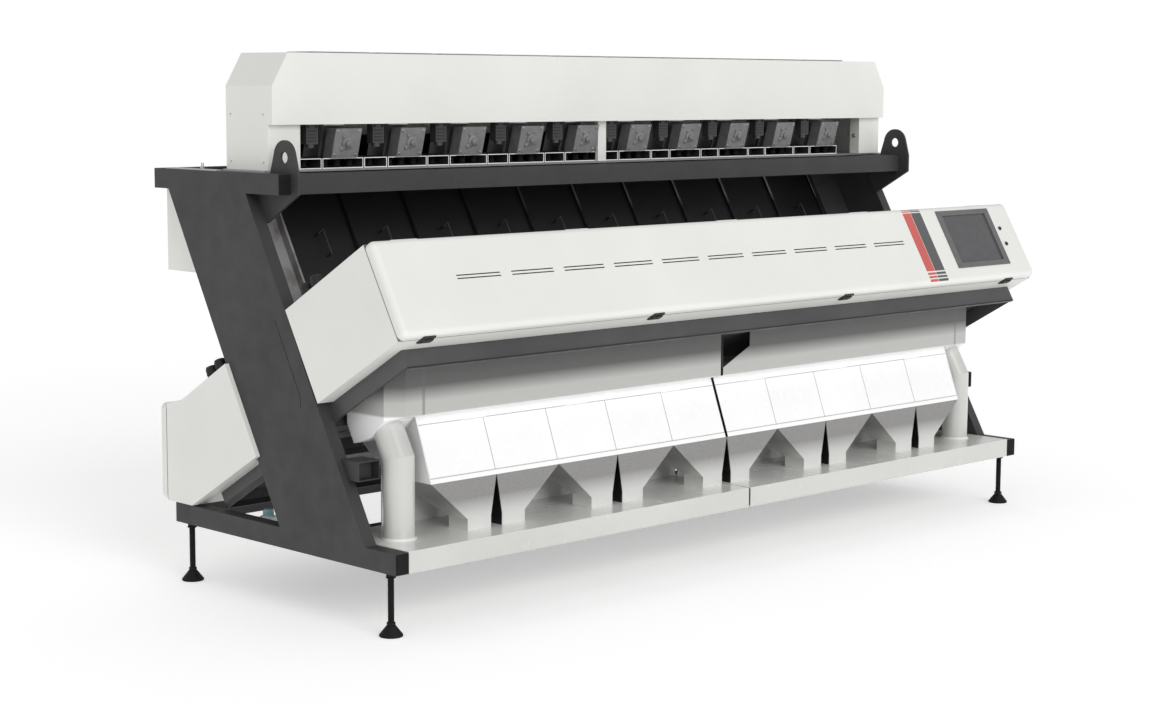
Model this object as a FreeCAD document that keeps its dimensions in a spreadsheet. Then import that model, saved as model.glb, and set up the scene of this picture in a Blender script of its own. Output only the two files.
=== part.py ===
import FreeCAD, Part
import math
import os
import Sketcher

# Optical colour sorter with ten chutes, in millimetres.
# X runs along the row of chutes, Y from the front to the rear, Z up.
# The outlines use machine heights above the floor and depths behind the front of the base.
# Every body is then moved so that the origin lies on the floor under the middle of the machine.

os.makedirs("parts", exist_ok=True)
Vector = FreeCAD.Vector
doc = FreeCAD.newDocument("optical_colour_sorter")
sheet = doc.addObject("Spreadsheet::Sheet", "sizes")
bodies = []


class Size:
    """A length or an angle: its value, and the formula on the sheet that gives it."""

    def __init__(self, formula, value):
        self.formula = formula
        self.value = value

    def __add__(self, other):
        other = as_size(other)
        return Size(f"({self.formula} + {other.formula})", self.value + other.value)

    def __sub__(self, other):
        other = as_size(other)
        return Size(f"({self.formula} - {other.formula})", self.value - other.value)

    def __mul__(self, other):
        other = as_size(other)
        return Size(f"({self.formula} * {other.formula})", self.value * other.value)

    def __truediv__(self, other):
        other = as_size(other)
        return Size(f"({self.formula} / {other.formula})", self.value / other.value)

    def __radd__(self, other):
        return as_size(other) + self

    def __rsub__(self, other):
        return as_size(other) - self

    def __rmul__(self, other):
        return as_size(other) * self

    def __neg__(self):
        return Size(f"(0 - {self.formula})", -self.value)


def as_size(number):
    if isinstance(number, Size):
        return number
    return Size(f"({float(number)!r})", float(number))


def sine(angle):
    return Size(f"sin({angle.formula})", math.sin(math.radians(angle.value)))


def cosine(angle):
    return Size(f"cos({angle.formula})", math.cos(math.radians(angle.value)))


def tangent(angle):
    return Size(f"tan({angle.formula})", math.tan(math.radians(angle.value)))


def root(number):
    return Size(f"sqrt({number.formula})", math.sqrt(number.value))


def driving(name, value):
    """One driving dimension: a row of the sheet with its alias."""
    driving.row += 1
    sheet.set(f"A{driving.row}", name.replace("_", " "))
    sheet.set(f"B{driving.row}", str(value))
    sheet.setAlias(f"B{driving.row}", name)
    return Size(f"sizes.{name}", float(value))


driving.row = 0

# The driving dimensions, each written once as a plain number
# Base frame
base_width = 3810
base_depth = 1375
base_underside = 234
beam_width = 61
beam_height = 78
beam_wall = 4
base_rail_setback = 12
base_rail_width = 60

# Leaning columns and top frame
column_thickness = 54
column_depth = 512
column_front = 174
column_lean = 29.3
arm_reach = 240
arm_low = 540
arm_height = 72
arm_width = 100
arm_lap = 29
arm_pocket = 45
top_beam_underside = 1564
top_beam_setback = 481.616
top_beam_length = 817
top_rail_setback = 9
top_rail_width = 60
bead_setback = 84
bead_top = 1094
bead_bottom = 831
bead_tail = 48
bead_width = 5
bead_depth = 1.5

# Lifting plates
lug_thickness = 10
lug_hole_radius = 22
lug_radius = 65
lug_hole_inset = 37
lug_front_angle = 15
lug_rear_angle = 30
lug_hole_rise = 60
lug_front_reach = 47
lug_foot_length = 125
lug_gusset_drop = 112

# Levelling feet
foot_setback = 65
foot_stem_radius = 11
foot_pad_radius = 42.5
foot_pad_rim = 8
foot_pad_height = 40
foot_neck_radius = 17
foot_socket_depth = 18
foot_bush_wall = 9
foot_bush_length = 30
thread_clearance = 0.06

# Hood over the feeders
hood_end_gap = 5
hood_chute_gap = 72.616
hood_depth = 295
hood_height = 451
hood_window_height = 172
hood_post_step = 28
hood_chamfer_inset = 75
hood_chamfer_drop = 126
hood_post_width = 151
hood_mid_post_width = 49
hood_mid_post_place = -61
hood_mid_post_inset = 41
hood_mid_post_depth = 16
hood_return_depth = 56
hanger_tab = 10
sheet_wall = 3
inlet_length = 260
inlet_width = 150
inlet_rim = 8
inlet_rise = 6

# Feeders
chute_count = 10
row_margin = 224.5
platform_thickness = 8
platform_lap = 12
feeder_base_width = 200
small_base_width = 114
feeder_base_height = 40
feeder_base_inset = 62
feeder_base_depth = 207
drive_width = 120
drive_inset = 51
drive_depth = 62
drive_height = 124.6
drive_lean = 15
drive_plate = 8
drive_plate_lip = 4
spring_width = 100
spring_thickness = 3
spring_inset = 154
spring_spread = 100
trough_gap = 35.3
trough_inset = 59
trough_length = 350
trough_depth = 50
trough_foot_height = 20
trough_foot_lap = 4
gate_width = 56
gate_inset = 43
gate_depth = 36
gate_drop = 77
gate_knob_width = 34
gate_knob_drop = 14
trough_clearance = 0.4
trough_headroom = 8
hopper_outlet_length = 220
hopper_outlet_width = 50
grain_layer = 32

# Inclined optical boxes, set out from the lower rear corner of the front box
tilt = 30
optics_depth = 420
optics_height = 814
box_overhang = 18.6
front_box_height = 380
front_box_depth = 536
lid_depth = 41
lid_gap = 1
lid_edge_radius = 24
box_gap = 456
rear_box_drop = 20.5
rear_box_height = 390
rear_box_lap = 40
rear_box_top_run = 338
rear_box_bottom_run = 498
rear_lid_seam = 1403
rear_lid_depth = 51
rear_lid_drop = 28
window_low = 90
window_height = 160
window_margin = 13.5
window_lap = 15
glass_thickness = 6

# Lid fittings
vent_length = 214
vent_height = 5
vent_spacing = 13
vent_end_gap = 314
vent_inset = 332.6
vent_level = 202
bezel_inset = 165.6
bezel_width = 400
bezel_low = 64
bezel_height = 288
bezel_rise = 4
bezel_border = 36
bezel_wall = 12
screen_recess = 3
button_inset = 128.6
button_low = 166
button_spacing = 80
button_radius = 9
button_collar = 3
button_length = 22
button_rise = 5
button_clearance = 0.08
latch_width = 56
latch_depth = 50
latch_thickness = 7
latch_left_inset = 126.6
latch_right_inset = 195.6
latch_count = 4
hinge_radius = 6
hinge_length = 120
hinge_lift = 1.04
lid_hinge_count = 5
door_hinge_count = 3

# Inside the boxes
camera_width = 80
camera_depth = 130
camera_setback = 380
camera_rail = 6
camera_lens_radius = 24
camera_lens_length = 30
lamp_radius = 13
lamp_setback = 70
lamp_inset = 36
wiper_bar = 14
wiper_gap = 0.5
wiper_rail = 16

# Chutes between the boxes
chute_setback = 217
chute_foot = 300
chute_drop = 68.618
chute_plate = 6
chute_side = 12
chute_side_wall = 3
chute_gap = 4
handle_wire = 2.5
handle_low = 686
handle_length = 107
handle_reach = 28
handle_offset = 5
handle_hook_width = 26
handle_hook_drop = 16
handle_foot_radius = 4
cross_bar = 40
cross_bar_low = 330
cross_bar_drop = 285
wing_thickness = 4
wing_low = 280
wing_drop = 165
cheek_gap = 5.5
cheek_thickness = 10
cheek_front = 190
cheek_rear = 270
ejector_setback = 262
ejector_depth = 90
ejector_low = 40
ejector_height = 85
nozzle_strip = 14

# Guards under the boxes
guard_height = 69
guard_front = 453
guard_rear = 88
guard_lip = 16

# Discharge modules
skirt_front = 164
skirt_inset = 130
skirt_corner = 57
skirt_rear = 436
skirt_lip = 770
skirt_slope_depth = 296
skirt_slope_foot = 684
skirt_floor_depth = 397
skirt_floor = 653
face_top_depth = 220.5
face_top = 755
face_bottom_depth = 131.7
face_bottom = 514
module_gap = 10
module_rear = 420
fold_allowance = 1.4
back_sheet_lap = 30
apron_low = 545
apron_high = 700
apron_reach = 222
intake_top = 685
cheek_height = 48
notch_width = 170
notch_height = 81
door_top_strip = 0.12
door_bottom_strip = 0.07
door_gap = 1
door_groove = 2
door_hinge_radius = 3
outlet_width = 117
outlet_depth = 108
outlet_gap = 57
throat_height = 45
throat_passes = 12
funnel_wall = 2.5
outlet_clearance = 1
tray_depth = 440
tray_wall = 3
pipe_radius = 60
pipe_wall = 2.5
pipe_inset = 191
pipe_depth = 212
pipe_knee = 612
pipe_flange = 6
pipe_mouth_radius = 40
pipe_mouth_setback = 56

# Services at the rear
cabinet_setback = 4
cabinet_depth = 300
cabinet_height = 329
cabinet_door_gap = 4
filter_radius = 24
filter_gap = 44
filter_depth = 900
filter_bowl_height = 42
filter_head_height = 24
filter_cap_height = 26
gland_radius = 22
gland_length = 52
cover_top_run = 130
cover_rear_run = 198
cover_height = 293
cover_fall = 65

# Each driving dimension goes on the sheet, and its name stands for that cell from here on
for name, value in list(globals().items()):
    if isinstance(value, (int, float)):
        globals()[name] = driving(name, value)

# Places that follow from the driving dimensions
half_base = base_width / 2
half_inside = half_base - column_thickness
half_box = half_base + box_overhang
base_top = base_underside + beam_height
top_beam_top = top_beam_underside + beam_height
lid_reach = front_box_depth + lid_gap + lid_depth
rear_box_front = box_gap + rear_box_lap

# Along the row
half_row = half_inside - row_margin
chute_pitch = 2 * half_row / chute_count
first_chute = chute_pitch / 2 - half_row
trough_width = chute_pitch - trough_gap
window_half_length = half_row + window_margin
hood_half_length = half_inside - hood_end_gap
skirt_half_length = half_base - skirt_inset
pipe_place = half_base - pipe_inset
button_place = half_box - button_inset
bezel_left = half_box - bezel_inset - bezel_width
vent_first = vent_inset - half_box
vent_pitch = (bezel_left - vent_end_gap - vent_length - vent_first) / (chute_count - 1)
latch_first = latch_left_inset - half_box
latch_pitch = (2 * half_box - latch_left_inset - latch_right_inset) / (latch_count - 1)

# Upwards from the top frame
hood_top = top_beam_top + hood_height
hood_fascia_bottom = top_beam_top + platform_thickness + hood_window_height
gate_low = hood_fascia_bottom - gate_drop
cover_top = top_beam_top + cover_height
cover_shoulder = cover_top - cover_fall
feeder_base_top = top_beam_top + platform_thickness + feeder_base_height
trough_low = feeder_base_top + drive_height + trough_clearance + trough_foot_height
cabinet_bottom = top_beam_underside - cabinet_height
filter_head_low = base_top - filter_head_height
filter_bowl_low = filter_head_low - filter_bowl_height


def along_chutes(height):
    """How far up the inclined boxes the face of the chutes reaches a height."""
    return (height - optics_height + chute_setback * sine(tilt)) / cosine(tilt)


# The top frame, the hood and the feeders keep their distances in front of the chutes
chute_line = optics_depth + chute_setback * cosine(tilt) + along_chutes(top_beam_top) * sine(tilt)
top_beam_front = chute_line - top_beam_setback
lug_hole_depth = top_beam_front + lug_hole_inset
hood_front = chute_line - hood_chute_gap - hood_depth
hood_mid_post_front = hood_front + hood_mid_post_inset
gate_front = hood_front + gate_inset
drive_front = hood_front + drive_inset
trough_front = hood_front + trough_inset
feeder_base_front = hood_front + feeder_base_inset
spring_first = hood_front + spring_inset
chute_length = along_chutes(trough_low - chute_drop) - chute_foot
cross_bar_high = chute_foot + chute_length - cross_bar_drop
wing_high = chute_foot + chute_length - wing_drop

# From front to rear
front_reach = (optics_depth - (lid_reach - lid_edge_radius) * cosine(tilt)
               + lid_edge_radius * sine(tilt) - lid_edge_radius)
rear_reach = top_beam_front + top_beam_length
centre_depth = (front_reach + rear_reach) / 2
cabinet_front = rear_reach - cabinet_setback - cabinet_depth


def machine(across, along):
    """Machine depth and height of a point given across and along the inclined boxes."""
    depth = optics_depth + across * cosine(tilt) + along * sine(tilt)
    height = optics_height - across * sine(tilt) + along * cosine(tilt)
    return depth, height


def column_edge(height, setback=0):
    """Depth of the column's front edge at a height, plus a setback."""
    return column_front + (height - base_top) * tangent(column_lean) + setback


def start_body(label, tilted=False, place=None):
    """A new body at the machine's own origin, or set along the inclined boxes."""
    body = doc.addObject("PartDesign::Body", label)
    body.Label = label
    body.AllowCompound = True
    x, y, z = place if place else (as_size(0), as_size(0), as_size(0))
    if tilted:
        body.Placement = FreeCAD.Placement(Vector(), FreeCAD.Rotation(Vector(-1, 0, 0), tilt.value))
        body.setExpression("Placement.Rotation.Angle", tilt.formula)
        y = y + optics_depth
        z = z + optics_height
    body.setExpression("Placement.Base.x", as_size(x).formula)
    body.setExpression("Placement.Base.y", (y - centre_depth).formula)
    body.setExpression("Placement.Base.z", as_size(z).formula)
    bodies.append(body)
    return body


def own_plane(body, role):
    for feature in body.Origin.OriginFeatures:
        if feature.Role == role:
            return feature


def sketch_on(body, plane, offset, outlines):
    """A fully dimensioned sketch of closed outlines, set off from one of the body's own planes."""
    sketch = body.newObject("Sketcher::SketchObject", body.Label + "_outline")
    sketch.AttachmentSupport = (own_plane(body, plane + "_Plane"), [""])
    sketch.MapMode = "FlatFace"
    offset = as_size(offset)
    if plane == "XZ":
        offset = -offset
    sketch.setExpression("AttachmentOffset.Base.z", offset.formula)
    for outline in outlines:
        if isinstance(outline, dict):
            add_circle(sketch, outline)
        else:
            add_polygon(sketch, [(as_size(a), as_size(b)) for a, b in outline])
    return sketch


def bind(sketch, kind, *where, value):
    index = sketch.addConstraint(Sketcher.Constraint(kind, *where, value.value))
    sketch.setExpression(f"Constraints[{index}]", value.formula)


def add_polygon(sketch, points):
    first = sketch.GeometryCount
    count = len(points)
    for index in range(count):
        a, b = points[index], points[(index + 1) % count]
        start = Vector(a[0].value, a[1].value, 0)
        end = Vector(b[0].value, b[1].value, 0)
        sketch.addGeometry(Part.LineSegment(start, end))
    for index in range(count):
        following = first + (index + 1) % count
        sketch.addConstraint(Sketcher.Constraint("Coincident", first + index, 2, following, 1))
    for index, (a, b) in enumerate(points):
        bind(sketch, "DistanceX", -1, 1, first + index, 1, value=a)
        bind(sketch, "DistanceY", -1, 1, first + index, 1, value=b)


def circle(across, up, radius):
    return {"centre": (as_size(across), as_size(up)), "radius": as_size(radius)}


def add_circle(sketch, outline):
    index = sketch.GeometryCount
    across, up = outline["centre"]
    radius = outline["radius"]
    sketch.addGeometry(Part.Circle(Vector(across.value, up.value, 0), Vector(0, 0, 1), radius.value))
    bind(sketch, "DistanceX", -1, 1, index, 3, value=across)
    bind(sketch, "DistanceY", -1, 1, index, 3, value=up)
    bind(sketch, "Radius", index, value=radius)


def rectangle(left, right, low, high):
    return [(left, low), (right, low), (right, high), (left, high)]


def extrude(body, plane, start, length, *outlines):
    """Pad outlines from a coordinate along the plane's own axis, towards larger values."""
    pad = body.newObject("PartDesign::Pad", body.Label + "_pad")
    pad.Profile = sketch_on(body, plane, start, outlines)
    pad.setExpression("Length", as_size(length).formula)
    pad.Reversed = plane == "XZ"
    doc.recompute()
    return pad


def cut(body, plane, start, length, *outlines):
    """Pocket outlines from a coordinate towards larger values, and see that it removed something."""
    before = body.Shape.Volume
    pocket = body.newObject("PartDesign::Pocket", body.Label + "_pocket")
    pocket.Profile = sketch_on(body, plane, start, outlines)
    pocket.setExpression("Length", as_size(length).formula)
    pocket.Reversed = plane != "XZ"
    doc.recompute()
    if body.Shape.Volume >= before - 0.001:
        raise ValueError(f"a pocket of {body.Label} removed nothing")
    return pocket


def loft(body, kind, low, high, low_outline, high_outline):
    """A straight loft between two level outlines, added or taken away."""
    feature = body.newObject(f"PartDesign::{kind}Loft", body.Label + "_loft")
    feature.Profile = sketch_on(body, "XY", low, [low_outline])
    feature.Sections = [(sketch_on(body, "XY", high, [high_outline]), [""])]
    feature.Ruled = True
    doc.recompute()
    return feature


def revolve(body, outline):
    """Turn an outline in the XZ plane once round the body's own Z axis."""
    feature = body.newObject("PartDesign::Revolution", body.Label + "_turned")
    feature.Profile = sketch_on(body, "XZ", 0, [outline])
    feature.ReferenceAxis = (own_plane(body, "Z_Axis"), [""])
    feature.Angle = 360
    doc.recompute()
    return feature


def repeat(body, features, axis, pitch, count):
    """Copies of features along an axis, at a pitch."""
    pattern = body.newObject("PartDesign::LinearPattern", body.Label + "_row")
    pattern.Originals = features
    pattern.Direction = (own_plane(body, axis + "_Axis"), [""])
    pattern.Mode = "Spacing"
    pattern.setExpression("Offset", as_size(pitch).formula)
    pattern.setExpression("Occurrences", as_size(count).formula)
    body.Tip = pattern
    doc.recompute()
    return pattern


def round_edges(body, radius, wanted):
    """Fillet the edges of the body so far whose middle point and direction are wanted."""
    base = body.Tip
    names = []
    for number, edge in enumerate(base.Shape.Edges, 1):
        middle = edge.valueAt((edge.FirstParameter + edge.LastParameter) / 2)
        ends = edge.Vertexes[-1].Point - edge.Vertexes[0].Point
        if ends.Length > 0 and wanted(middle, ends.normalize()):
            names.append(f"Edge{number}")
    fillet = body.newObject("PartDesign::Fillet", body.Label + "_rounded")
    fillet.Base = (base, names)
    fillet.setExpression("Radius", radius.formula)
    doc.recompute()
    return fillet


def wire_path(body, plane, offset, points):
    """An open dimensioned sketch of straight lines for a swept wire or pipe."""
    path = body.newObject("Sketcher::SketchObject", body.Label + "_path")
    path.AttachmentSupport = (own_plane(body, plane + "_Plane"), [""])
    path.MapMode = "FlatFace"
    offset = as_size(offset)
    if plane == "XZ":
        offset = -offset
    path.setExpression("AttachmentOffset.Base.z", offset.formula)
    points = [(as_size(a), as_size(b)) for a, b in points]
    for start, end in zip(points, points[1:]):
        path.addGeometry(Part.LineSegment(Vector(start[0].value, start[1].value, 0),
                                          Vector(end[0].value, end[1].value, 0)))
    for index in range(len(points) - 2):
        path.addConstraint(Sketcher.Constraint("Coincident", index, 2, index + 1, 1))
    for index, (a, b) in enumerate(points):
        line, end = (index, 1) if index < len(points) - 1 else (index - 1, 2)
        bind(path, "DistanceX", -1, 1, line, end, value=a)
        bind(path, "DistanceY", -1, 1, line, end, value=b)
    return path


def rounded_pan(body, seam, depth, low, high):
    """A pan pressed from sheet, its rim along the seam and its other edges rounded."""
    wall = sheet_wall
    bottom = seam + depth
    near, far = (seam, bottom) if depth.value > 0 else (bottom, seam)
    extrude(body, "YZ", -half_box, 2 * half_box, rectangle(near, far, low, high))
    inner_bottom = bottom - wall if depth.value > 0 else bottom + wall
    near, far = (seam, inner_bottom) if depth.value > 0 else (inner_bottom, seam)
    cut(body, "YZ", wall - half_box, 2 * (half_box - wall),
        rectangle(near, far, low + wall, high - wall))

    def on_rim_or_wall(middle, at):
        inside = abs(abs(middle.x) - half_box.value) > 0.01
        inside = inside and abs(middle.z - low.value) > 0.01 and abs(middle.z - high.value) > 0.01
        return inside == at

    round_edges(body, lid_edge_radius - wall,
                lambda middle, direction: abs(middle.y - inner_bottom.value) < 0.01
                or (abs(direction.y) > 0.99 and on_rim_or_wall(middle, True)))
    round_edges(body, lid_edge_radius,
                lambda middle, direction: abs(middle.y - bottom.value) < 0.01
                or (abs(direction.y) > 0.99 and on_rim_or_wall(middle, False)))


def side_span(side, inner, outer):
    """Start and length along X of a piece that lies between two distances from the middle."""
    start = inner if side > 0 else -as_size(outer)
    return start, as_size(outer) - inner


def toward(seam, side, near, far):
    """Start and length along X of a piece between two distances from a seam, on one side of it."""
    start = near if side > 0 else -as_size(far)
    return seam + start, as_size(far) - near


def base_beam(label, side):
    """A side beam of the base: a square tube closed at the front, with a threaded bush per foot."""
    body = start_body(label)
    left, width = side_span(side, half_base - beam_width, half_base)
    outer = rectangle(left, left + width, base_underside, base_top)
    inner = rectangle(left + beam_wall, left + width - beam_wall,
                      base_underside + beam_wall, base_top - beam_wall)
    extrude(body, "XZ", 0, base_depth, outer)
    cut(body, "XZ", beam_wall, base_depth - beam_wall, inner)
    middle = side * (half_base - beam_width / 2)
    bush_radius = foot_stem_radius + foot_bush_wall
    hole_radius = foot_stem_radius + thread_clearance
    places = (foot_setback, base_depth - foot_setback)
    bushes = [circle(middle, depth, bush_radius) for depth in places]
    holes = [circle(middle, depth, hole_radius) for depth in places]
    extrude(body, "XY", base_underside + beam_wall, foot_bush_length, *bushes)
    cut(body, "XY", base_underside, beam_wall + foot_bush_length, *holes)


def tube_along_x(label, front, width, low, height, half_length):
    """A rectangular tube between the two sides of the machine, open at its ends."""
    body = start_body(label)
    outer = rectangle(front, front + width, low, low + height)
    inner = rectangle(front + beam_wall, front + width - beam_wall,
                      low + beam_wall, low + height - beam_wall)
    extrude(body, "YZ", -half_length, 2 * half_length, outer, inner)
    return body


def base_rails():
    """The cross rails that tie the side beams together and carry the front tray."""
    body = start_body("base_rails")
    half_length = half_base - beam_width
    low = base_underside + tray_wall
    high = base_top
    rear = base_depth - base_rail_setback - base_rail_width
    for front in (base_rail_setback, tray_depth, rear):
        outer = rectangle(front, front + base_rail_width, low, high)
        inner = rectangle(front + beam_wall, front + base_rail_width - beam_wall,
                          low + beam_wall, high - beam_wall)
        extrude(body, "YZ", -half_length, 2 * half_length, outer, inner)


def column(label, side):
    """A leaning box column with a pressed bead on its outer face and a short open arm in front."""
    body = start_body(label)
    left, width = side_span(side, half_inside, half_base)
    corners = [(column_edge(base_top), base_top),
               (column_edge(base_top, column_depth), base_top),
               (column_edge(top_beam_underside, column_depth), top_beam_underside),
               (column_edge(top_beam_underside), top_beam_underside)]
    wall = beam_wall / cosine(column_lean)
    inside = [(column_edge(base_top, wall), base_top),
              (column_edge(base_top, column_depth - wall), base_top),
              (column_edge(top_beam_underside, column_depth - wall), top_beam_underside),
              (column_edge(top_beam_underside, wall), top_beam_underside)]
    extrude(body, "YZ", left, width, corners)
    cut(body, "YZ", left + beam_wall, width - 2 * beam_wall, inside)
    tail_low = bead_bottom - bead_tail
    bead = [(column_edge(bead_top, bead_setback), bead_top),
            (column_edge(bead_top, bead_setback + bead_width), bead_top),
            (column_edge(bead_bottom, bead_setback + bead_width), bead_bottom),
            (column_edge(bead_bottom, bead_setback), tail_low),
            (column_edge(bead_bottom, bead_setback - bead_width), tail_low),
            (column_edge(bead_bottom, bead_setback), bead_bottom)]
    outer_face = half_base - bead_depth if side > 0 else -half_base
    cut(body, "YZ", outer_face, bead_depth, bead)
    arm_high = arm_low + arm_height
    arm_outer = half_inside + arm_lap
    arm_left, arm_span = side_span(side, arm_outer - arm_width, arm_outer)
    extrude(body, "YZ", arm_left, arm_span,
            [(arm_reach, arm_low), (column_edge(arm_low), arm_low),
             (column_edge(arm_high), arm_high), (arm_reach, arm_high)])
    cut(body, "XZ", arm_reach, arm_pocket,
        rectangle(arm_left + beam_wall, arm_left + arm_span - beam_wall,
                  arm_low + beam_wall, arm_high - beam_wall))


def top_beam(label, side):
    """A side beam of the top frame, closed at the front."""
    body = start_body(label)
    left, width = side_span(side, half_inside, half_base)
    outer = rectangle(left, left + width, top_beam_underside, top_beam_top)
    inner = rectangle(left + beam_wall, left + width - beam_wall,
                      top_beam_underside + beam_wall, top_beam_top - beam_wall)
    extrude(body, "XZ", top_beam_front, top_beam_length, outer)
    cut(body, "XZ", top_beam_front + beam_wall, top_beam_length - beam_wall, inner)


def lifting_plate(label, side):
    """A gusset plate whose upper end is a lifting eye."""
    body = start_body(label)
    left, width = side_span(side, half_inside - lug_thickness, half_inside)
    eye = top_beam_top + lug_hole_rise
    front = top_beam_front - lug_front_reach
    gusset_low = top_beam_underside - lug_gusset_drop
    plate = [(front, top_beam_underside),
             (column_edge(gusset_low), gusset_low),
             (column_edge(top_beam_underside), top_beam_underside),
             (column_edge(top_beam_underside), top_beam_top),
             (top_beam_front + lug_foot_length, top_beam_top),
             (lug_hole_depth + lug_radius * cosine(lug_rear_angle),
              eye + lug_radius * sine(lug_rear_angle)),
             (lug_hole_depth - lug_radius * cosine(lug_front_angle),
              eye + lug_radius * sine(lug_front_angle)),
             (front, top_beam_top)]
    extrude(body, "YZ", left, width, plate)
    extrude(body, "YZ", left, width, circle(lug_hole_depth, eye, lug_radius))
    cut(body, "YZ", left, width, circle(lug_hole_depth, eye, lug_hole_radius))


def levelling_foot(label, side, depth):
    """A conical pad with a threaded stem seated in its socket."""
    place = (side * (half_base - beam_width / 2), depth, as_size(0))
    body = start_body(label, place=place)
    stem_low = foot_pad_height - foot_socket_depth
    stem_high = base_underside + beam_wall + foot_bush_length + foot_socket_depth
    socket = foot_stem_radius + thread_clearance
    pad = [(0, 0), (foot_pad_radius, 0), (foot_pad_radius, foot_pad_rim),
           (foot_neck_radius, foot_pad_height), (socket, foot_pad_height),
           (socket, stem_low - thread_clearance), (0, stem_low - thread_clearance)]
    revolve(body, pad)
    stem = body.newObject("PartDesign::Pad", label + "_stem")
    stem.Profile = sketch_on(body, "XY", stem_low, [circle(0, 0, foot_stem_radius)])
    stem.setExpression("Length", (stem_high - stem_low).formula)
    doc.recompute()


def hanger(front, rear, low):
    """Outline of a piece that hangs from the inside of the hood's fascia by a tab."""
    tab_front = hood_front + sheet_wall
    high = hood_fascia_bottom + hanger_tab
    return [(front, low), (rear, low), (rear, high), (tab_front, high),
            (tab_front, hood_fascia_bottom), (front, hood_fascia_bottom)]


def hood():
    """The white hood: fascia, posts set back below it, chamfered top, ends and rear wall."""
    body = start_body("hood_shell")
    foot = top_beam_top + platform_thickness
    shoulder = hood_top - hood_chamfer_drop
    top_half = hood_half_length - hood_chamfer_inset
    wall = sheet_wall
    slope_length = root(hood_chamfer_inset * hood_chamfer_inset + hood_chamfer_drop * hood_chamfer_drop)
    shoulder_in = wall * (slope_length - hood_chamfer_drop) / hood_chamfer_inset
    top_in = wall * (slope_length - hood_chamfer_inset) / hood_chamfer_drop
    half_in = hood_half_length - wall

    def outer(low):
        return [(-hood_half_length, low), (hood_half_length, low), (hood_half_length, shoulder),
                (top_half, hood_top), (-top_half, hood_top), (-hood_half_length, shoulder)]

    def inner(low):
        return [(-half_in, low), (half_in, low), (half_in, shoulder - shoulder_in),
                (top_half - top_in, hood_top - wall), (top_in - top_half, hood_top - wall),
                (-half_in, shoulder - shoulder_in)]

    post_front = hood_front + hood_post_step
    extrude(body, "XZ", hood_front, hood_post_step, outer(hood_fascia_bottom))
    extrude(body, "XZ", post_front, hood_depth - hood_post_step, outer(foot))
    cut(body, "XZ", hood_front + wall, hood_post_step, inner(hood_fascia_bottom + wall))
    cut(body, "XZ", post_front + wall, hood_depth - hood_post_step - 2 * wall, inner(foot))
    window_half = hood_half_length - hood_post_width
    cut(body, "XZ", hood_front + wall, hood_post_step,
        rectangle(-window_half, window_half, foot, hood_fascia_bottom + wall))
    for side in (-1, 1):
        left, width = side_span(side, window_half, window_half + wall)
        extrude(body, "YZ", left, width,
                rectangle(post_front + wall, post_front + hood_return_depth,
                          foot, hood_fascia_bottom))
    extrude(body, "YZ", hood_mid_post_place - hood_mid_post_width / 2, hood_mid_post_width,
            hanger(hood_mid_post_front, hood_mid_post_front + hood_mid_post_depth, foot))
    cut(body, "XZ", hood_front + hood_depth - wall, wall,
        rectangle(-half_row, half_row, foot, trough_low + trough_depth + trough_headroom))
    inlet_middle = hood_front + hood_depth / 2
    inlet = cut(body, "XY", hood_top - wall, wall,
                rectangle(first_chute - inlet_length / 2, first_chute + inlet_length / 2,
                          inlet_middle - inlet_width / 2, inlet_middle + inlet_width / 2))
    repeat(body, [inlet], "X", chute_pitch, chute_count)


def inlet_collars():
    """The ten low collars round the feed openings on top of the hood."""
    body = start_body("inlet_collars")
    middle = hood_front + hood_depth / 2
    inner = rectangle(first_chute - inlet_length / 2, first_chute + inlet_length / 2,
                      middle - inlet_width / 2, middle + inlet_width / 2)
    half_length = inlet_length / 2 + inlet_rim
    half_width = inlet_width / 2 + inlet_rim
    outer = rectangle(first_chute - half_length, first_chute + half_length,
                      middle - half_width, middle + half_width)
    ring = extrude(body, "XY", hood_top, inlet_rise, outer, inner)
    repeat(body, [ring], "X", chute_pitch, chute_count)


def feed_hoppers():
    """The ten tapered hoppers from the feed openings down to the troughs."""
    body = start_body("feed_hoppers")
    middle = hood_front + hood_depth / 2
    low = trough_low + sheet_wall + grain_layer
    high = hood_top - sheet_wall

    def ring(length, width, wall):
        half_length = length / 2 + wall
        half_width = width / 2 + wall
        return rectangle(first_chute - half_length, first_chute + half_length,
                         middle - half_width, middle + half_width)

    added = loft(body, "Additive", low, high,
                 ring(hopper_outlet_length, hopper_outlet_width, sheet_wall),
                 ring(inlet_length, inlet_width, sheet_wall))
    removed = loft(body, "Subtractive", low, high,
                   ring(hopper_outlet_length, hopper_outlet_width, as_size(0)),
                   ring(inlet_length, inlet_width, as_size(0)))
    repeat(body, [added, removed], "X", chute_pitch, chute_count)


def feeder_platform():
    """The long plate that carries the feeders and the hood, resting on the top side beams."""
    body = start_body("feeder_platform")
    half_length = half_inside + platform_lap
    extrude(body, "YZ", -half_length, 2 * half_length,
            rectangle(hood_front + hood_post_step, hood_front + hood_depth,
                      top_beam_top, top_beam_top + platform_thickness))


def feeder_bases():
    """Ten open base frames, one under each feeder, and ten smaller ones between them."""
    body = start_body("feeder_bases")
    low = top_beam_top + platform_thickness
    high = low + feeder_base_height
    wall = sheet_wall
    frames = []
    for middle, width in ((first_chute, feeder_base_width),
                          (first_chute - chute_pitch / 2, small_base_width)):
        left = middle - width / 2
        right = middle + width / 2
        frames.append(extrude(body, "XZ", feeder_base_front, feeder_base_depth,
                              rectangle(left, right, low, high),
                              rectangle(left + wall, right - wall, low + wall, high - wall)))
    repeat(body, frames, "X", chute_pitch, chute_count)


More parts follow.
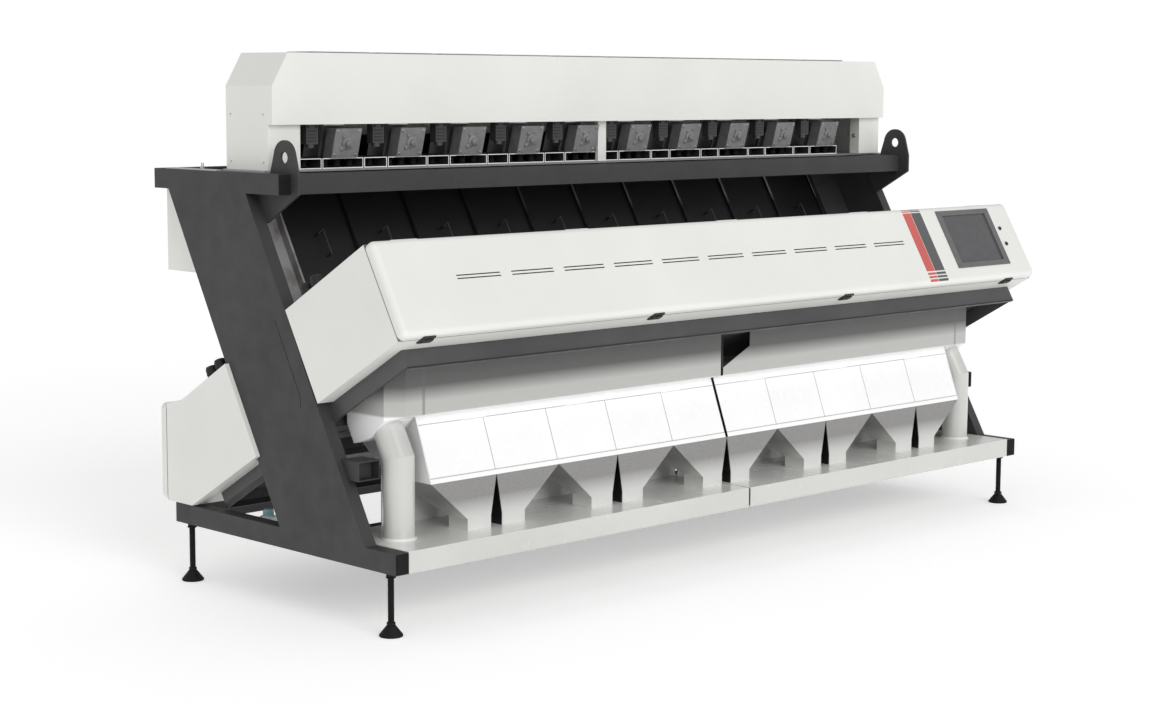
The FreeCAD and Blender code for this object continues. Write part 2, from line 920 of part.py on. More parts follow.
def feeder_drives():
    """Ten vibrator drives with leaning front plates and two leaf springs, and ten gate motors."""
    body = start_body("feeder_drives")
    low = feeder_base_top
    high = low + drive_height - trough_foot_height / 2
    lean = (high - low) * tangent(drive_lean)
    half_width = drive_width / 2
    block = extrude(body, "YZ", first_chute - half_width, drive_width,
                    [(drive_front + drive_plate, low), (drive_front + drive_depth, low),
                     (drive_front + drive_depth - lean, high),
                     (drive_front + drive_plate - lean, high)])
    half_plate = half_width + drive_plate_lip
    plate = extrude(body, "YZ", first_chute - half_plate, 2 * half_plate,
                    [(drive_front, low), (drive_front + drive_plate, low),
                     (drive_front + drive_plate - lean, high), (drive_front - lean, high)])
    spring_high = low + drive_height
    spring_lean = drive_height * tangent(drive_lean)
    leaves = []
    for number in (0, 1):
        foot = spring_first + spring_spread * number
        leaf = extrude(body, "YZ", first_chute - spring_width / 2, spring_width,
                       [(foot, low), (foot + spring_thickness, low),
                        (foot + spring_thickness - spring_lean, spring_high),
                        (foot - spring_lean, spring_high)])
        leaves.append(leaf)
    between = first_chute - chute_pitch / 2
    motor = extrude(body, "YZ", between - gate_width / 2, gate_width,
                    hanger(gate_front, gate_front + gate_depth, gate_low))
    knob = extrude(body, "XY", gate_low - gate_knob_drop, gate_knob_drop,
                   circle(between, gate_front + gate_depth / 2, gate_knob_width / 2))
    repeat(body, [block, plate, motor, knob] + leaves, "X", chute_pitch, chute_count)


def feeder_troughs():
    """Ten open vibrating troughs, each with the foot that its leaf springs hold."""
    body = start_body("feeder_troughs")
    low = trough_low
    half_width = trough_width / 2
    left = first_chute - half_width
    right = first_chute + half_width
    high = low + trough_depth
    wall = sheet_wall
    channel = extrude(body, "XZ", trough_front, trough_length,
                      [(left, low), (right, low), (right, high), (right - wall, high),
                       (right - wall, low + wall), (left + wall, low + wall),
                       (left + wall, high), (left, high)])
    back = extrude(body, "XZ", trough_front, wall, rectangle(left, right, low, high))
    foot_front = spring_first - drive_height * tangent(drive_lean) - trough_foot_lap
    foot = extrude(body, "YZ", first_chute - spring_width / 2, spring_width,
                   rectangle(foot_front,
                             foot_front + spring_spread + spring_thickness + 2 * trough_foot_lap,
                             low - trough_foot_height, low))
    repeat(body, [channel, back, foot], "X", chute_pitch, chute_count)


def feed_rear_cover():
    """The sheet cover behind the hood, over the troughs' lips and the chutes' upper ends."""
    body = start_body("feed_rear_cover")
    front = hood_front + hood_depth
    low = top_beam_top
    outer = [(front, low), (front + cover_rear_run, low),
             (front + cover_rear_run, cover_shoulder), (front + cover_top_run, cover_top),
             (front, cover_top)]
    inner = [(front, low), (front + cover_rear_run - sheet_wall, low),
             (front + cover_rear_run - sheet_wall, cover_shoulder - sheet_wall / 2),
             (front + cover_top_run - sheet_wall / 2, cover_top - sheet_wall),
             (front, cover_top - sheet_wall)]
    half_length = half_row + 4 * sheet_wall
    extrude(body, "YZ", -half_length, 2 * half_length, outer)
    cut(body, "YZ", sheet_wall - half_length, 2 * (half_length - sheet_wall), inner)


def chutes():
    """Ten channel-shaped chutes down the middle of the gap between the optical boxes."""
    body = start_body("chutes", tilted=True)
    half_width = (chute_pitch - chute_gap) / 2
    left = first_chute - half_width
    right = first_chute + half_width
    back = chute_setback + chute_plate
    front = chute_setback - chute_side
    wall = chute_side_wall
    channel = extrude(body, "XY", chute_foot, chute_length,
                      [(left, front), (left + wall, front), (left + wall, chute_setback),
                       (right - wall, chute_setback), (right - wall, front), (right, front),
                       (right, back), (left, back)])
    repeat(body, [channel], "X", chute_pitch, chute_count)


def chute_handles():
    """Ten hooked wire pulls, each standing off its chute on two small feet."""
    body = start_body("chute_handles", tilted=True)
    middle = first_chute + handle_offset
    front = chute_setback - handle_reach
    high = handle_low + handle_length
    end = middle - handle_hook_width
    end_height = high - handle_hook_drop
    path = wire_path(body, "XZ", front, [(middle, handle_low), (middle, high), (end, end_height)])
    wire = body.newObject("PartDesign::AdditivePipe", "chute_handles_wire")
    wire.Profile = sketch_on(body, "XY", handle_low, [circle(middle, front, handle_wire)])
    wire.Spine = path
    wire.Transition = "Round corner"
    doc.recompute()
    feet = extrude(body, "XZ", front, handle_reach, circle(middle, handle_low, handle_foot_radius),
                   circle(end, end_height, handle_foot_radius))
    repeat(body, [wire, feet], "X", chute_pitch, chute_count)


def chute_frame():
    """The cross bars behind the chutes, with the wing and cheek plates at each end of the row."""
    body = start_body("chute_frame", tilted=True)
    back = chute_setback + chute_plate
    for low in (cross_bar_low, cross_bar_high):
        outer = rectangle(back, back + cross_bar, low, low + cross_bar)
        inner = rectangle(back + beam_wall, back + cross_bar - beam_wall,
                          low + beam_wall, low + cross_bar - beam_wall)
        extrude(body, "YZ", -half_inside, 2 * half_inside, outer, inner)
    wing_inner = half_row + cheek_gap
    for side in (-1, 1):
        left, width = side_span(side, wing_inner, half_inside)
        extrude(body, "YZ", left, width,
                rectangle(back, back + wing_thickness, wing_low, wing_high))
        left, width = side_span(side, wing_inner, wing_inner + cheek_thickness)
        extrude(body, "YZ", left, width,
                rectangle(cheek_front, cheek_rear, wing_low, wing_high))


def front_box():
    """The front optical box: a shell open at its lid side, with a window towards the chutes."""
    body = start_body("front_box_shell", tilted=True)
    wall = sheet_wall
    extrude(body, "YZ", -half_box, 2 * half_box,
            rectangle(-front_box_depth, 0, 0, front_box_height))
    cut(body, "YZ", wall - half_box, 2 * (half_box - wall),
        rectangle(-front_box_depth, -wall, wall, front_box_height - wall))
    cut(body, "XZ", -wall, wall,
        rectangle(-window_half_length, window_half_length, window_low, window_low + window_height))


def front_lid():
    """The shallow hinged lid of the front box, with its vents and its cut-outs."""
    body = start_body("front_lid", tilted=True)
    seam = -(front_box_depth + lid_gap)
    rounded_pan(body, seam, -lid_depth, as_size(0), front_box_height)
    front = seam - lid_depth
    slots = []
    for row in (0, 1):
        low = vent_level + vent_spacing * row
        slots.append(rectangle(vent_first, vent_first + vent_length, low, low + vent_height))
    vents = cut(body, "XZ", front, sheet_wall, *slots)
    repeat(body, [vents], "X", vent_pitch, chute_count)
    inset = bezel_wall
    cut(body, "XZ", front, sheet_wall,
        rectangle(bezel_left + inset, bezel_left + bezel_width - inset,
                  bezel_low + inset, bezel_low + bezel_height - inset),
        circle(button_place, button_low, button_radius + button_clearance),
        circle(button_place, button_low + button_spacing, button_radius + button_clearance))


def lid_front():
    return -lid_reach


def screen_bezel():
    """The flat frame round the touch screen, proud of the lid."""
    body = start_body("screen_bezel", tilted=True)
    right = bezel_left + bezel_width
    high = bezel_low + bezel_height
    border = bezel_border
    extrude(body, "XZ", lid_front() - bezel_rise, bezel_rise,
            rectangle(bezel_left, right, bezel_low, high),
            rectangle(bezel_left + border, right - border, bezel_low + border - bezel_wall,
                      high - border + bezel_wall))
    inner = bezel_wall + thread_clearance
    extrude(body, "XZ", lid_front(), lid_depth / 2,
            rectangle(bezel_left + inner, right - inner, bezel_low + inner, high - inner),
            rectangle(bezel_left + inner + sheet_wall, right - inner - sheet_wall,
                      bezel_low + inner + sheet_wall, high - inner - sheet_wall))
    extrude(body, "XZ", lid_front(), sheet_wall,
            rectangle(bezel_left + inner, right - inner, bezel_low + inner, high - inner),
            rectangle(bezel_left + border, right - border, bezel_low + border - bezel_wall,
                      high - border + bezel_wall))


def touch_screen():
    """The touch panel, seated behind the bezel."""
    body = start_body("touch_screen", tilted=True)
    inner = bezel_wall + thread_clearance + sheet_wall + thread_clearance
    extrude(body, "XZ", lid_front() + sheet_wall, lid_depth / 2 - sheet_wall,
            rectangle(bezel_left + inner, bezel_left + bezel_width - inner,
                      bezel_low + inner, bezel_low + bezel_height - inner))


def push_button(label, height):
    """A round push button: a cap in front of the lid and a stem through it."""
    place = (button_place, lid_front() * cosine(tilt) + height * sine(tilt),
             height * cosine(tilt) - lid_front() * sine(tilt))
    body = start_body(label, tilted=True, place=place)
    extrude(body, "XZ", -button_rise, button_length, circle(0, 0, button_radius))
    extrude(body, "XZ", sheet_wall + button_clearance, button_collar,
            circle(0, 0, button_radius + button_collar))


def lid_latch(label, number):
    """A flat draw latch across the seam under the lid."""
    body = start_body(label, tilted=True)
    middle = latch_first + latch_pitch * number
    seam = -(front_box_depth + lid_gap / 2)
    extrude(body, "XY", -latch_thickness, latch_thickness,
            rectangle(middle - latch_width / 2, middle + latch_width / 2,
                      seam - latch_depth / 2, seam + latch_depth / 2))
    round_edges(body, latch_thickness / 2,
                lambda centre, direction: abs(centre.z + latch_thickness.value) < 0.01)


def lid_hinges():
    """The hinge knuckles over the top seams of both lids and of the inspection doors."""
    body = start_body("lid_hinges")
    radius = hinge_radius
    across, along = -(front_box_depth + lid_gap / 2), front_box_height + radius
    depth, height = machine(across, along)
    rear_depth, rear_height = rear_lid_seam + lid_gap / 2, rear_lid_top() + radius * hinge_lift
    knuckles = extrude(body, "YZ", latch_first, hinge_length,
                       circle(depth, height, radius), circle(rear_depth, rear_height, radius))
    pitch = (-2 * latch_first - hinge_length) / (lid_hinge_count - 1)
    repeat(body, [knuckles], "X", pitch, lid_hinge_count)
    top = door_top() + door_gap / 2
    lean = sloping_face(face_top)[0] - sloping_face(face_bottom)[0]
    rise = face_top - face_bottom
    slope_length = root(lean * lean + rise * rise)
    across = sloping_face(top)[0] - door_hinge_radius * rise / slope_length
    up = top + door_hinge_radius * lean / slope_length
    pitch = half_row / door_hinge_count
    knuckle = extrude(body, "YZ", pitch / 2 - half_row - hinge_length / 2, hinge_length,
                      circle(across, up, door_hinge_radius))
    repeat(body, [knuckle], "X", pitch, 2 * door_hinge_count)


def rear_lid_top():
    return machine(box_gap + rear_box_top_run, rear_box_height - rear_box_drop)[1] - rear_lid_drop


def rear_lid_bottom():
    return machine(box_gap + rear_box_bottom_run, -rear_box_drop)[1]


def rear_box():
    """The rear optical box, whose end plates lap over the outside of the columns."""
    body = start_body("rear_box_shell")
    wall = sheet_wall
    high = rear_box_height - rear_box_drop
    low = -rear_box_drop

    def outline(front, inset):
        shoulder = machine(box_gap + rear_box_top_run, high)
        corner = machine(box_gap + rear_box_bottom_run, low)
        step = inset / cosine(tilt)
        rim = rear_lid_seam
        return [machine(front + inset, low + inset), machine(front + inset, high - inset),
                (shoulder[0], shoulder[1] - step), (rim, rear_lid_top() - inset),
                (rim, rear_lid_bottom() + inset), (corner[0] + inset / 2, corner[1] + inset)]

    plate = box_overhang - thread_clearance
    inside = half_base + thread_clearance
    for side in (-1, 1):
        left, width = side_span(side, inside, inside + plate)
        extrude(body, "YZ", left, width, outline(box_gap, as_size(0)))
    extrude(body, "YZ", -inside, 2 * inside, outline(rear_box_front, as_size(0)))
    cut(body, "YZ", -inside, 2 * inside, outline(rear_box_front, wall))
    low_edge = machine(rear_box_front, window_low)
    high_edge = machine(rear_box_front, window_low + window_height)
    reach = 2 * wall
    cut(body, "YZ", -window_half_length, 2 * window_half_length,
        [(low_edge[0] - reach, low_edge[1]), (low_edge[0] + reach, low_edge[1]),
         (high_edge[0] + reach, high_edge[1]), (high_edge[0] - reach, high_edge[1])])


def rear_lid():
    """The pan-shaped rear cover, hinged along its top edge."""
    body = start_body("rear_lid")
    seam = rear_lid_seam + lid_gap
    rounded_pan(body, seam, rear_lid_depth, rear_lid_bottom(), rear_lid_top())


def optics_sides():
    """The window wall of each box, and the way from there into the box."""
    return ((as_size(0), -1), (rear_box_front, 1))


def cameras():
    """Twenty cameras, one per chute in each box, on a rail between the box's end walls."""
    body = start_body("cameras", tilted=True)
    middle = window_low + window_height / 2
    low = middle - camera_width / 2
    places = ((-camera_setback - camera_depth, -1, half_box - sheet_wall),
              (rear_box_front + camera_setback / 2, 1, half_base + thread_clearance))
    features = []
    for start, away, half_length in places:
        features.append(extrude(body, "XZ", start, camera_depth,
                                rectangle(first_chute - camera_width / 2,
                                          first_chute + camera_width / 2,
                                          low, low + camera_width)))
        lens = start - camera_lens_length if away > 0 else start + camera_depth
        features.append(extrude(body, "XZ", lens, camera_lens_length,
                                circle(first_chute, middle, camera_lens_radius)))
    repeat(body, features, "X", chute_pitch, chute_count)
    for start, away, half_length in places:
        extrude(body, "YZ", -half_length, 2 * half_length,
                rectangle(start, start + camera_depth, low - camera_rail, low))


def lamps():
    """The lamp tubes above and below each window, held by the end walls."""
    body = start_body("lamps", tilted=True)
    places = ((-lamp_setback, half_box - sheet_wall),
              (rear_box_front + lamp_setback, half_base + thread_clearance))
    for across, half_length in places:
        for along in (window_low - lamp_inset, window_low + window_height + lamp_inset):
            extrude(body, "YZ", -half_length, 2 * half_length,
                    circle(across, along, lamp_radius))


def sight_glasses():
    """The two glass panes behind the window openings."""
    body = start_body("sight_glasses", tilted=True)
    for wall, away in optics_sides():
        near = wall + away * sheet_wall
        start = near if away > 0 else near - glass_thickness
        half = window_half_length + window_lap
        extrude(body, "XZ", start, glass_thickness,
                rectangle(-half, half, window_low - window_lap,
                          window_low + window_height + window_lap))


def wiper_low():
    return window_low - window_lap - wiper_bar


def glass_wiper(label, wall, towards):
    """A row of wiper blades on one bar that slides along the outside of a sight glass."""
    body = start_body(label, tilted=True)
    near = wall + towards * wiper_gap
    start = near if towards > 0 else near - wiper_bar
    low = wiper_low()
    left = -half_row + chute_side
    blade = extrude(body, "XZ", start, wiper_bar,
                    rectangle(left, left + wiper_bar, low, window_low + window_height))
    repeat(body, [blade], "X", chute_pitch, chute_count)
    extrude(body, "XZ", start, wiper_bar,
            rectangle(left, half_row - chute_pitch + wiper_bar + chute_side, low, low + wiper_bar))


def wiper_rails():
    """The two guide rails under the wiper bars, on the outside of the boxes."""
    body = start_body("wiper_rails", tilted=True)
    high = wiper_low() - thread_clearance
    for wall, away in optics_sides():
        start = wall if away < 0 else wall - wiper_rail
        extrude(body, "XZ", start, wiper_rail,
                rectangle(-window_half_length, window_half_length, high - wiper_rail, high))


def ejector_bar():
    """The valve bar between the columns, with its nozzle strip towards the falling stream."""
    body = start_body("ejector_bar", tilted=True)
    extrude(body, "YZ", -half_inside, 2 * half_inside,
            rectangle(ejector_setback, ejector_setback + ejector_depth,
                      ejector_low, ejector_low + ejector_height))
    extrude(body, "YZ", -half_row, 2 * half_row,
            rectangle(ejector_setback - nozzle_strip, ejector_setback,
                      ejector_low + ejector_height - 2 * nozzle_strip,
                      ejector_low + ejector_height))


def guard(label, front, rear, high):
    """A dark channel under an optical box, open below, that reaches in between the columns."""
    body = start_body(label, tilted=True)
    low = high - guard_height
    extrude(body, "YZ", -half_inside, 2 * half_inside, rectangle(front, rear, low, high))
    cut(body, "YZ", beam_wall - half_inside, 2 * (half_inside - beam_wall),
        rectangle(front + beam_wall, rear - beam_wall, low, high - beam_wall))
    extrude(body, "YZ", -half_inside, 2 * half_inside,
            rectangle(front, front + guard_lip, low - beam_wall, low))


def rear_guard_reach():
    """How far back the rear guard can run before it meets the base."""
    low = (rear_box_drop + guard_height + beam_wall) * cosine(tilt)
    return (optics_height - low - base_top) / sine(tilt)


def sloping_face(height, inset=0):
    """A point on the sloping front of the discharge modules, set inwards from its outside."""
    slope = (face_top_depth - face_bottom_depth) / (face_top - face_bottom)
    return face_bottom_depth + (height - face_bottom) * slope + inset, height


def door_top():
    return face_top - (face_top - face_bottom) * door_top_strip


def door_bottom():
    return face_bottom + (face_top - face_bottom) * door_bottom_strip


def skirt_underside():
    """The folded underside of the skirt, from its front lip to its rear wall."""
    return [(skirt_front, skirt_lip), (face_top_depth, face_top),
            (skirt_slope_depth, skirt_slope_foot), (skirt_floor_depth, skirt_floor)]


def discharge_module(label, side):
    """A folded discharge module: a skirt under the guard, a sloping box, and an intake apron behind.

    The apron catches the stream that falls between the optical boxes and leads it into the box.
    """
    body = start_body(label)
    wall = sheet_wall
    inner_edge = module_gap / 2
    fall = tangent(tilt)
    hang = machine(-guard_front, -beam_wall)
    guard_edge = machine(-guard_front, -guard_height)
    top_front = hang[1] - (skirt_front - hang[0]) * fall
    top_rear = hang[1] - (skirt_rear - hang[0]) * fall
    rear_fold = guard_edge[1] - (skirt_rear - guard_edge[0]) * fall
    left, width = side_span(side, inner_edge, skirt_half_length)
    extrude(body, "YZ", left, width,
            skirt_underside() + [(skirt_rear, rear_fold), (skirt_rear, top_rear),
                                 (skirt_front, top_front)])
    box_left, box_width = side_span(side, inner_edge, half_row)
    extrude(body, "YZ", box_left, box_width,
            [sloping_face(face_top), sloping_face(face_bottom), (module_rear, face_bottom),
             (module_rear, face_top)])
    bend = skirt_half_length - skirt_corner
    cut(body, "XY", skirt_floor, top_front - skirt_floor,
        [(side * bend, skirt_front), (side * skirt_half_length, skirt_front),
         (side * skirt_half_length, skirt_front + skirt_corner)])

    lift = wall * fold_allowance

    def skirt_room(front):
        floor = [(depth, height + lift) for depth, height in skirt_underside()[2:]]
        return [(front, skirt_lip + lift), (face_top_depth + skirt_corner, skirt_lip + lift)] + floor \
            + [(skirt_rear - wall, rear_fold + wall), (skirt_rear - wall, top_rear + lift),
               (front, top_front + lift)]

    room_left, room_width = side_span(side, inner_edge + wall, bend)
    cut(body, "YZ", room_left, room_width, skirt_room(skirt_front + wall))
    end_front = skirt_front + skirt_corner + lift
    end_left, end_width = side_span(side, bend, skirt_half_length - wall)
    cut(body, "YZ", end_left, end_width, skirt_room(end_front))
    cut(body, "XY", skirt_lip + lift, top_front - skirt_lip,
        [(side * bend, skirt_front + lift), (side * (skirt_half_length - wall), end_front - wall),
         (side * (skirt_half_length - wall), end_front), (side * bend, end_front)])
    throat_left, throat_width = side_span(side, inner_edge + wall, half_row - wall)
    cut(body, "YZ", throat_left, throat_width,
        [sloping_face(face_top, wall), sloping_face(face_bottom, wall),
         (module_rear - wall, face_bottom), (module_rear - wall, face_top),
         (face_top_depth + skirt_corner, skirt_lip + lift), (face_top_depth + wall, skirt_lip + lift)])
    extrude(body, "YZ", box_left, box_width,
            rectangle(module_rear, module_rear + wall, base_top + tray_wall,
                      face_bottom + back_sheet_lap))
    apron = [(module_rear, apron_low), (module_rear + apron_reach, apron_high)]
    extrude(body, "YZ", box_left, box_width,
            apron + [(depth, height + lift) for depth, height in reversed(apron)])
    for cheek in (inner_edge, half_row - wall):
        cheek_left, cheek_width = side_span(side, cheek, cheek + wall)
        extrude(body, "YZ", cheek_left, cheek_width,
                apron + [(module_rear + apron_reach, apron_high + cheek_height),
                         (module_rear, intake_top)])
    cut(body, "YZ", throat_left, throat_width,
        rectangle(module_rear - wall, module_rear, apron_low + lift, intake_top))
    cut(body, "YZ", throat_left, throat_width,
        [sloping_face(door_bottom(), -wall), sloping_face(door_bottom(), 2 * wall),
         sloping_face(door_top(), 2 * wall), sloping_face(door_top(), -wall)])
    cut(body, "XY", skirt_floor, skirt_lip - skirt_floor,
        circle(side * pipe_place, pipe_depth + pipe_mouth_setback, pipe_mouth_radius))
    if side > 0:
        notch_top = guard_edge[1] - (skirt_front - guard_edge[0]) * fall
        cut(body, "XZ", skirt_front, wall,
            [(inner_edge, notch_top - notch_height), (inner_edge + notch_width, notch_top),
             (inner_edge + notch_width, top_front), (inner_edge, top_front)])


def inspection_door(label, side):
    """The long flap in a module's sloping front, hinged along its top and grooved into five panes."""
    body = start_body(label)
    high = door_top() - door_gap
    low = door_bottom() + door_gap
    left, width = side_span(side, inner_pane_edge(), half_row - sheet_wall - door_gap)
    extrude(body, "YZ", left, width,
            [sloping_face(low), sloping_face(low, sheet_wall),
             sloping_face(high, sheet_wall), sloping_face(high)])
    for number in range(1, 5):
        middle = side * chute_pitch * number
        cut(body, "YZ", middle - door_groove / 2, door_groove,
            [sloping_face(low), sloping_face(low, sheet_wall / 3),
             sloping_face(high, sheet_wall / 3), sloping_face(high)])


def inner_pane_edge():
    return module_gap / 2 + sheet_wall + door_gap


def funnels():
    """Ten sheet-metal funnels in mirrored pairs, each with a short throat through the tray.

    The outlets of a pair lie together, so each funnel leans towards its neighbour.
    """
    body = start_body("funnels")
    front = face_bottom_depth
    rear = module_rear
    low = base_top + tray_wall + throat_height
    bottom = base_top + tray_wall - throat_passes
    wall = funnel_wall
    seam = chute_pitch - half_row
    for side in (-1, 1):
        left, width = toward(seam, side, outlet_clearance, chute_pitch - outlet_clearance)
        outlet_left, outlet_span = toward(seam, side, outlet_gap / 2, outlet_gap / 2 + outlet_width)
        top_outer = rectangle(left, left + width, front, rear)
        top_inner = rectangle(left + wall, left + width - wall, front + wall, rear - wall)
        low_outer = rectangle(outlet_left, outlet_left + outlet_span, front, front + outlet_depth)
        low_inner = rectangle(outlet_left + wall, outlet_left + outlet_span - wall, front + wall,
                              front + outlet_depth - wall)
        added = loft(body, "Additive", low, face_bottom, low_outer, top_outer)
        throat = extrude(body, "XY", bottom, low - bottom, low_outer)
        removed = loft(body, "Subtractive", low, face_bottom, low_inner, top_inner)
        bore = cut(body, "XY", bottom, low - bottom, low_inner)
        repeat(body, [added, throat, removed, bore], "X", 2 * chute_pitch, chute_count / 2)


def tray(label, side):
    """Half of the front tray: a folded sheet with a hole for every throat and for the end pipe."""
    body = start_body(label)
    inner = module_gap / 2
    outer = half_base - beam_width
    left, width = side_span(side, inner, outer)
    high = base_top + tray_wall
    extrude(body, "YZ", left, width,
            [(0, base_underside), (tray_wall, base_underside), (tray_wall, high - tray_wall),
             (tray_depth - tray_wall, high - tray_wall), (tray_depth - tray_wall, base_underside),
             (tray_depth, base_underside), (tray_depth, high), (0, high)])
    half_width = outlet_width / 2 + outlet_clearance
    front = face_bottom_depth - outlet_clearance
    rear = face_bottom_depth + outlet_depth + outlet_clearance
    middle = outlet_gap / 2 + outlet_width / 2
    holes = []
    for number in range(5):
        nearest = side * chute_pitch * (number + number % 2)
        towards = side if number % 2 == 0 else -side
        centre = nearest + towards * middle
        holes.append(rectangle(centre - half_width, centre + half_width, front, rear))
    holes.append(circle(side * pipe_place, pipe_depth, pipe_radius - pipe_wall))
    cut(body, "XY", high - tray_wall, tray_wall, *holes)


def end_pipe(label, side):
    """The round pipe from the end of the skirt down to the tray, mitred at its knee."""
    centre = side * pipe_place
    body = start_body(label, place=(centre, as_size(0), as_size(0)))
    low = base_top + tray_wall
    rise = face_top - pipe_knee
    path = wire_path(body, "YZ", 0, [(pipe_depth, low), (pipe_depth, pipe_knee),
                                     (pipe_depth + rise * tangent(tilt), pipe_knee + rise)])
    pipe = body.newObject("PartDesign::AdditivePipe", label + "_pipe")
    pipe.Profile = sketch_on(body, "XY", low, [circle(0, pipe_depth, pipe_radius),
                                               circle(0, pipe_depth, pipe_radius - pipe_wall)])
    pipe.Spine = path
    pipe.Transition = "Right corner"
    doc.recompute()
    extrude(body, "XY", low, pipe_flange, circle(0, pipe_depth, pipe_radius + pipe_flange),
            circle(0, pipe_depth, pipe_radius - pipe_wall))
    beyond = face_top + pipe_radius
    cut(body, "YZ", -pipe_radius, 2 * pipe_radius,
        skirt_underside() + [(skirt_floor_depth, beyond), (skirt_front, beyond)])


def electrical_cabinet():
    """The full-width control cabinet between the columns, with its row of rear doors grooved in."""
    body = start_body("electrical_cabinet")
    rear = cabinet_front + cabinet_depth
    extrude(body, "YZ", -half_inside, 2 * half_inside,
            rectangle(cabinet_front, rear, cabinet_bottom, top_beam_underside))
    wall = sheet_wall
    cut(body, "YZ", wall - half_inside, 2 * (half_inside - wall),
        rectangle(cabinet_front + wall, rear - 2 * wall, cabinet_bottom + wall,
                  top_beam_underside - wall))
    cut(body, "XZ", rear - wall, wall,
        rectangle(-cabinet_door_gap / 2, cabinet_door_gap / 2, cabinet_bottom, top_beam_underside))


def air_filter():
    """The compressed-air filter and regulator on the inside of the left base beam."""
    place = (filter_gap + beam_width - half_base, filter_depth, as_size(0))
    body = start_body("air_filter", place=place)
    radius = filter_radius
    head_high = filter_head_low + filter_head_height
    extrude(body, "XY", filter_bowl_low, filter_head_low - filter_bowl_low, circle(0, 0, radius))
    extrude(body, "XY", filter_head_low, filter_head_height,
            rectangle(-radius, radius, -radius, radius))
    extrude(body, "XY", head_high, filter_cap_height, circle(0, 0, radius * cosine(tilt)))
    extrude(body, "YZ", -filter_gap, filter_gap,
            rectangle(-radius / 2, radius / 2, filter_head_low, base_top))


def cable_glands():
    """The hose and cable glands on the upper faces of the two optical boxes."""
    body = start_body("cable_glands", tilted=True)
    inset = half_box - 2 * gland_radius
    front_places = (-gland_radius * 5, -gland_radius * 8)
    rear_places = (rear_box_front + gland_radius * 2, rear_box_front + gland_radius * 5)
    for side in (-1, 1):
        front = [circle(side * inset, across, gland_radius) for across in front_places]
        extrude(body, "XY", front_box_height, gland_length, *front)
        rear = [circle(side * inset, across, gland_radius) for across in rear_places]
        extrude(body, "XY", rear_box_height - rear_box_drop, gland_length, *rear)


base_beam("base_beam_left", -1)
base_beam("base_beam_right", 1)
base_rails()
column("column_left", -1)
column("column_right", 1)
top_beam("top_beam_left", -1)
top_beam("top_beam_right", 1)
tube_along_x("top_rail_front", top_beam_front + top_rail_setback, top_rail_width,
             top_beam_underside, beam_height, half_inside - lug_thickness)
tube_along_x("top_rail_rear", rear_reach - top_rail_width, top_rail_width,
             top_beam_underside, beam_height, half_inside)
lifting_plate("lifting_plate_left", -1)
lifting_plate("lifting_plate_right", 1)
foot_rear = base_depth - foot_setback
levelling_foot("foot_front_left", -1, foot_setback)
levelling_foot("foot_front_right", 1, foot_setback)
levelling_foot("foot_rear_left", -1, foot_rear)
levelling_foot("foot_rear_right", 1, foot_rear)
hood()
inlet_collars()
feed_hoppers()
feeder_platform()
feeder_bases()
feeder_drives()
feeder_troughs()
feed_rear_cover()
chutes()
chute_handles()
chute_frame()
front_box()
front_lid()
screen_bezel()
touch_screen()
push_button("button_lower", button_low)
push_button("button_upper", button_low + button_spacing)
for number in range(int(latch_count.value)):
    lid_latch(f"lid_latch_{number + 1}", number)
lid_hinges()
rear_box()
rear_lid()
cameras()
lamps()
sight_glasses()
glass_wiper("front_glass_wiper", as_size(0), 1)
glass_wiper("rear_glass_wiper", rear_box_front, -1)
wiper_rails()
ejector_bar()
guard("front_guard", -guard_front, guard_rear, as_size(0))
guard("rear_guard", box_gap - guard_rear, rear_guard_reach(), -rear_box_drop)
discharge_module("discharge_module_left", -1)
discharge_module("discharge_module_right", 1)
inspection_door("inspection_door_left", -1)
inspection_door("inspection_door_right", 1)
funnels()
tray("tray_left", -1)
tray("tray_right", 1)
end_pipe("end_pipe_left", -1)
end_pipe("end_pipe_right", 1)
electrical_cabinet()
air_filter()
cable_glands()

doc.recompute()
for item in doc.Objects:
    if "Invalid" in item.State or "Error" in item.State:
        raise ValueError(f"{item.Label} failed: {item.State}")
for body in bodies:
    if body.Shape.isNull() or not body.Shape.isValid():
        raise ValueError(f"the shape of {body.Label} is not sound")
for body in bodies:
    body.Shape.exportStep(f"parts/{body.Label}.step")
    box = body.Shape.BoundBox
    print(f"{body.Label}: {len(body.Shape.Solids)} solids, "
          f"{box.XLength:.1f} x {box.YLength:.1f} x {box.ZLength:.1f}")
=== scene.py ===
import math

import bmesh
import bpy
from mathutils import Matrix, Vector

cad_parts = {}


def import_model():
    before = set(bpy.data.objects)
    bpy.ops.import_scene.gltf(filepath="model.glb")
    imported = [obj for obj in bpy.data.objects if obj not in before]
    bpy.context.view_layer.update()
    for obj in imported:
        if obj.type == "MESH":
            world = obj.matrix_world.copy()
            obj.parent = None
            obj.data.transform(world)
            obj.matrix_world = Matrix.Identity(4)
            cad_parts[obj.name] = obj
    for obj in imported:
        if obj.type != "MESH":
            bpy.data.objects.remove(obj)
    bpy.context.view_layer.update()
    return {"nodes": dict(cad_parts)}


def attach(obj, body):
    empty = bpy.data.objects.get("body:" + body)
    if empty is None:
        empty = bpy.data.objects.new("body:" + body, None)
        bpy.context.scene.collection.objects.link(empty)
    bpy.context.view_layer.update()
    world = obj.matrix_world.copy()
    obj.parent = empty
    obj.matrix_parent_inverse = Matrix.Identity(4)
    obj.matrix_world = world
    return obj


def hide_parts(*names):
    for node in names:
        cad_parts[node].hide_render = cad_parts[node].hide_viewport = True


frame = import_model()
nodes = frame["nodes"]

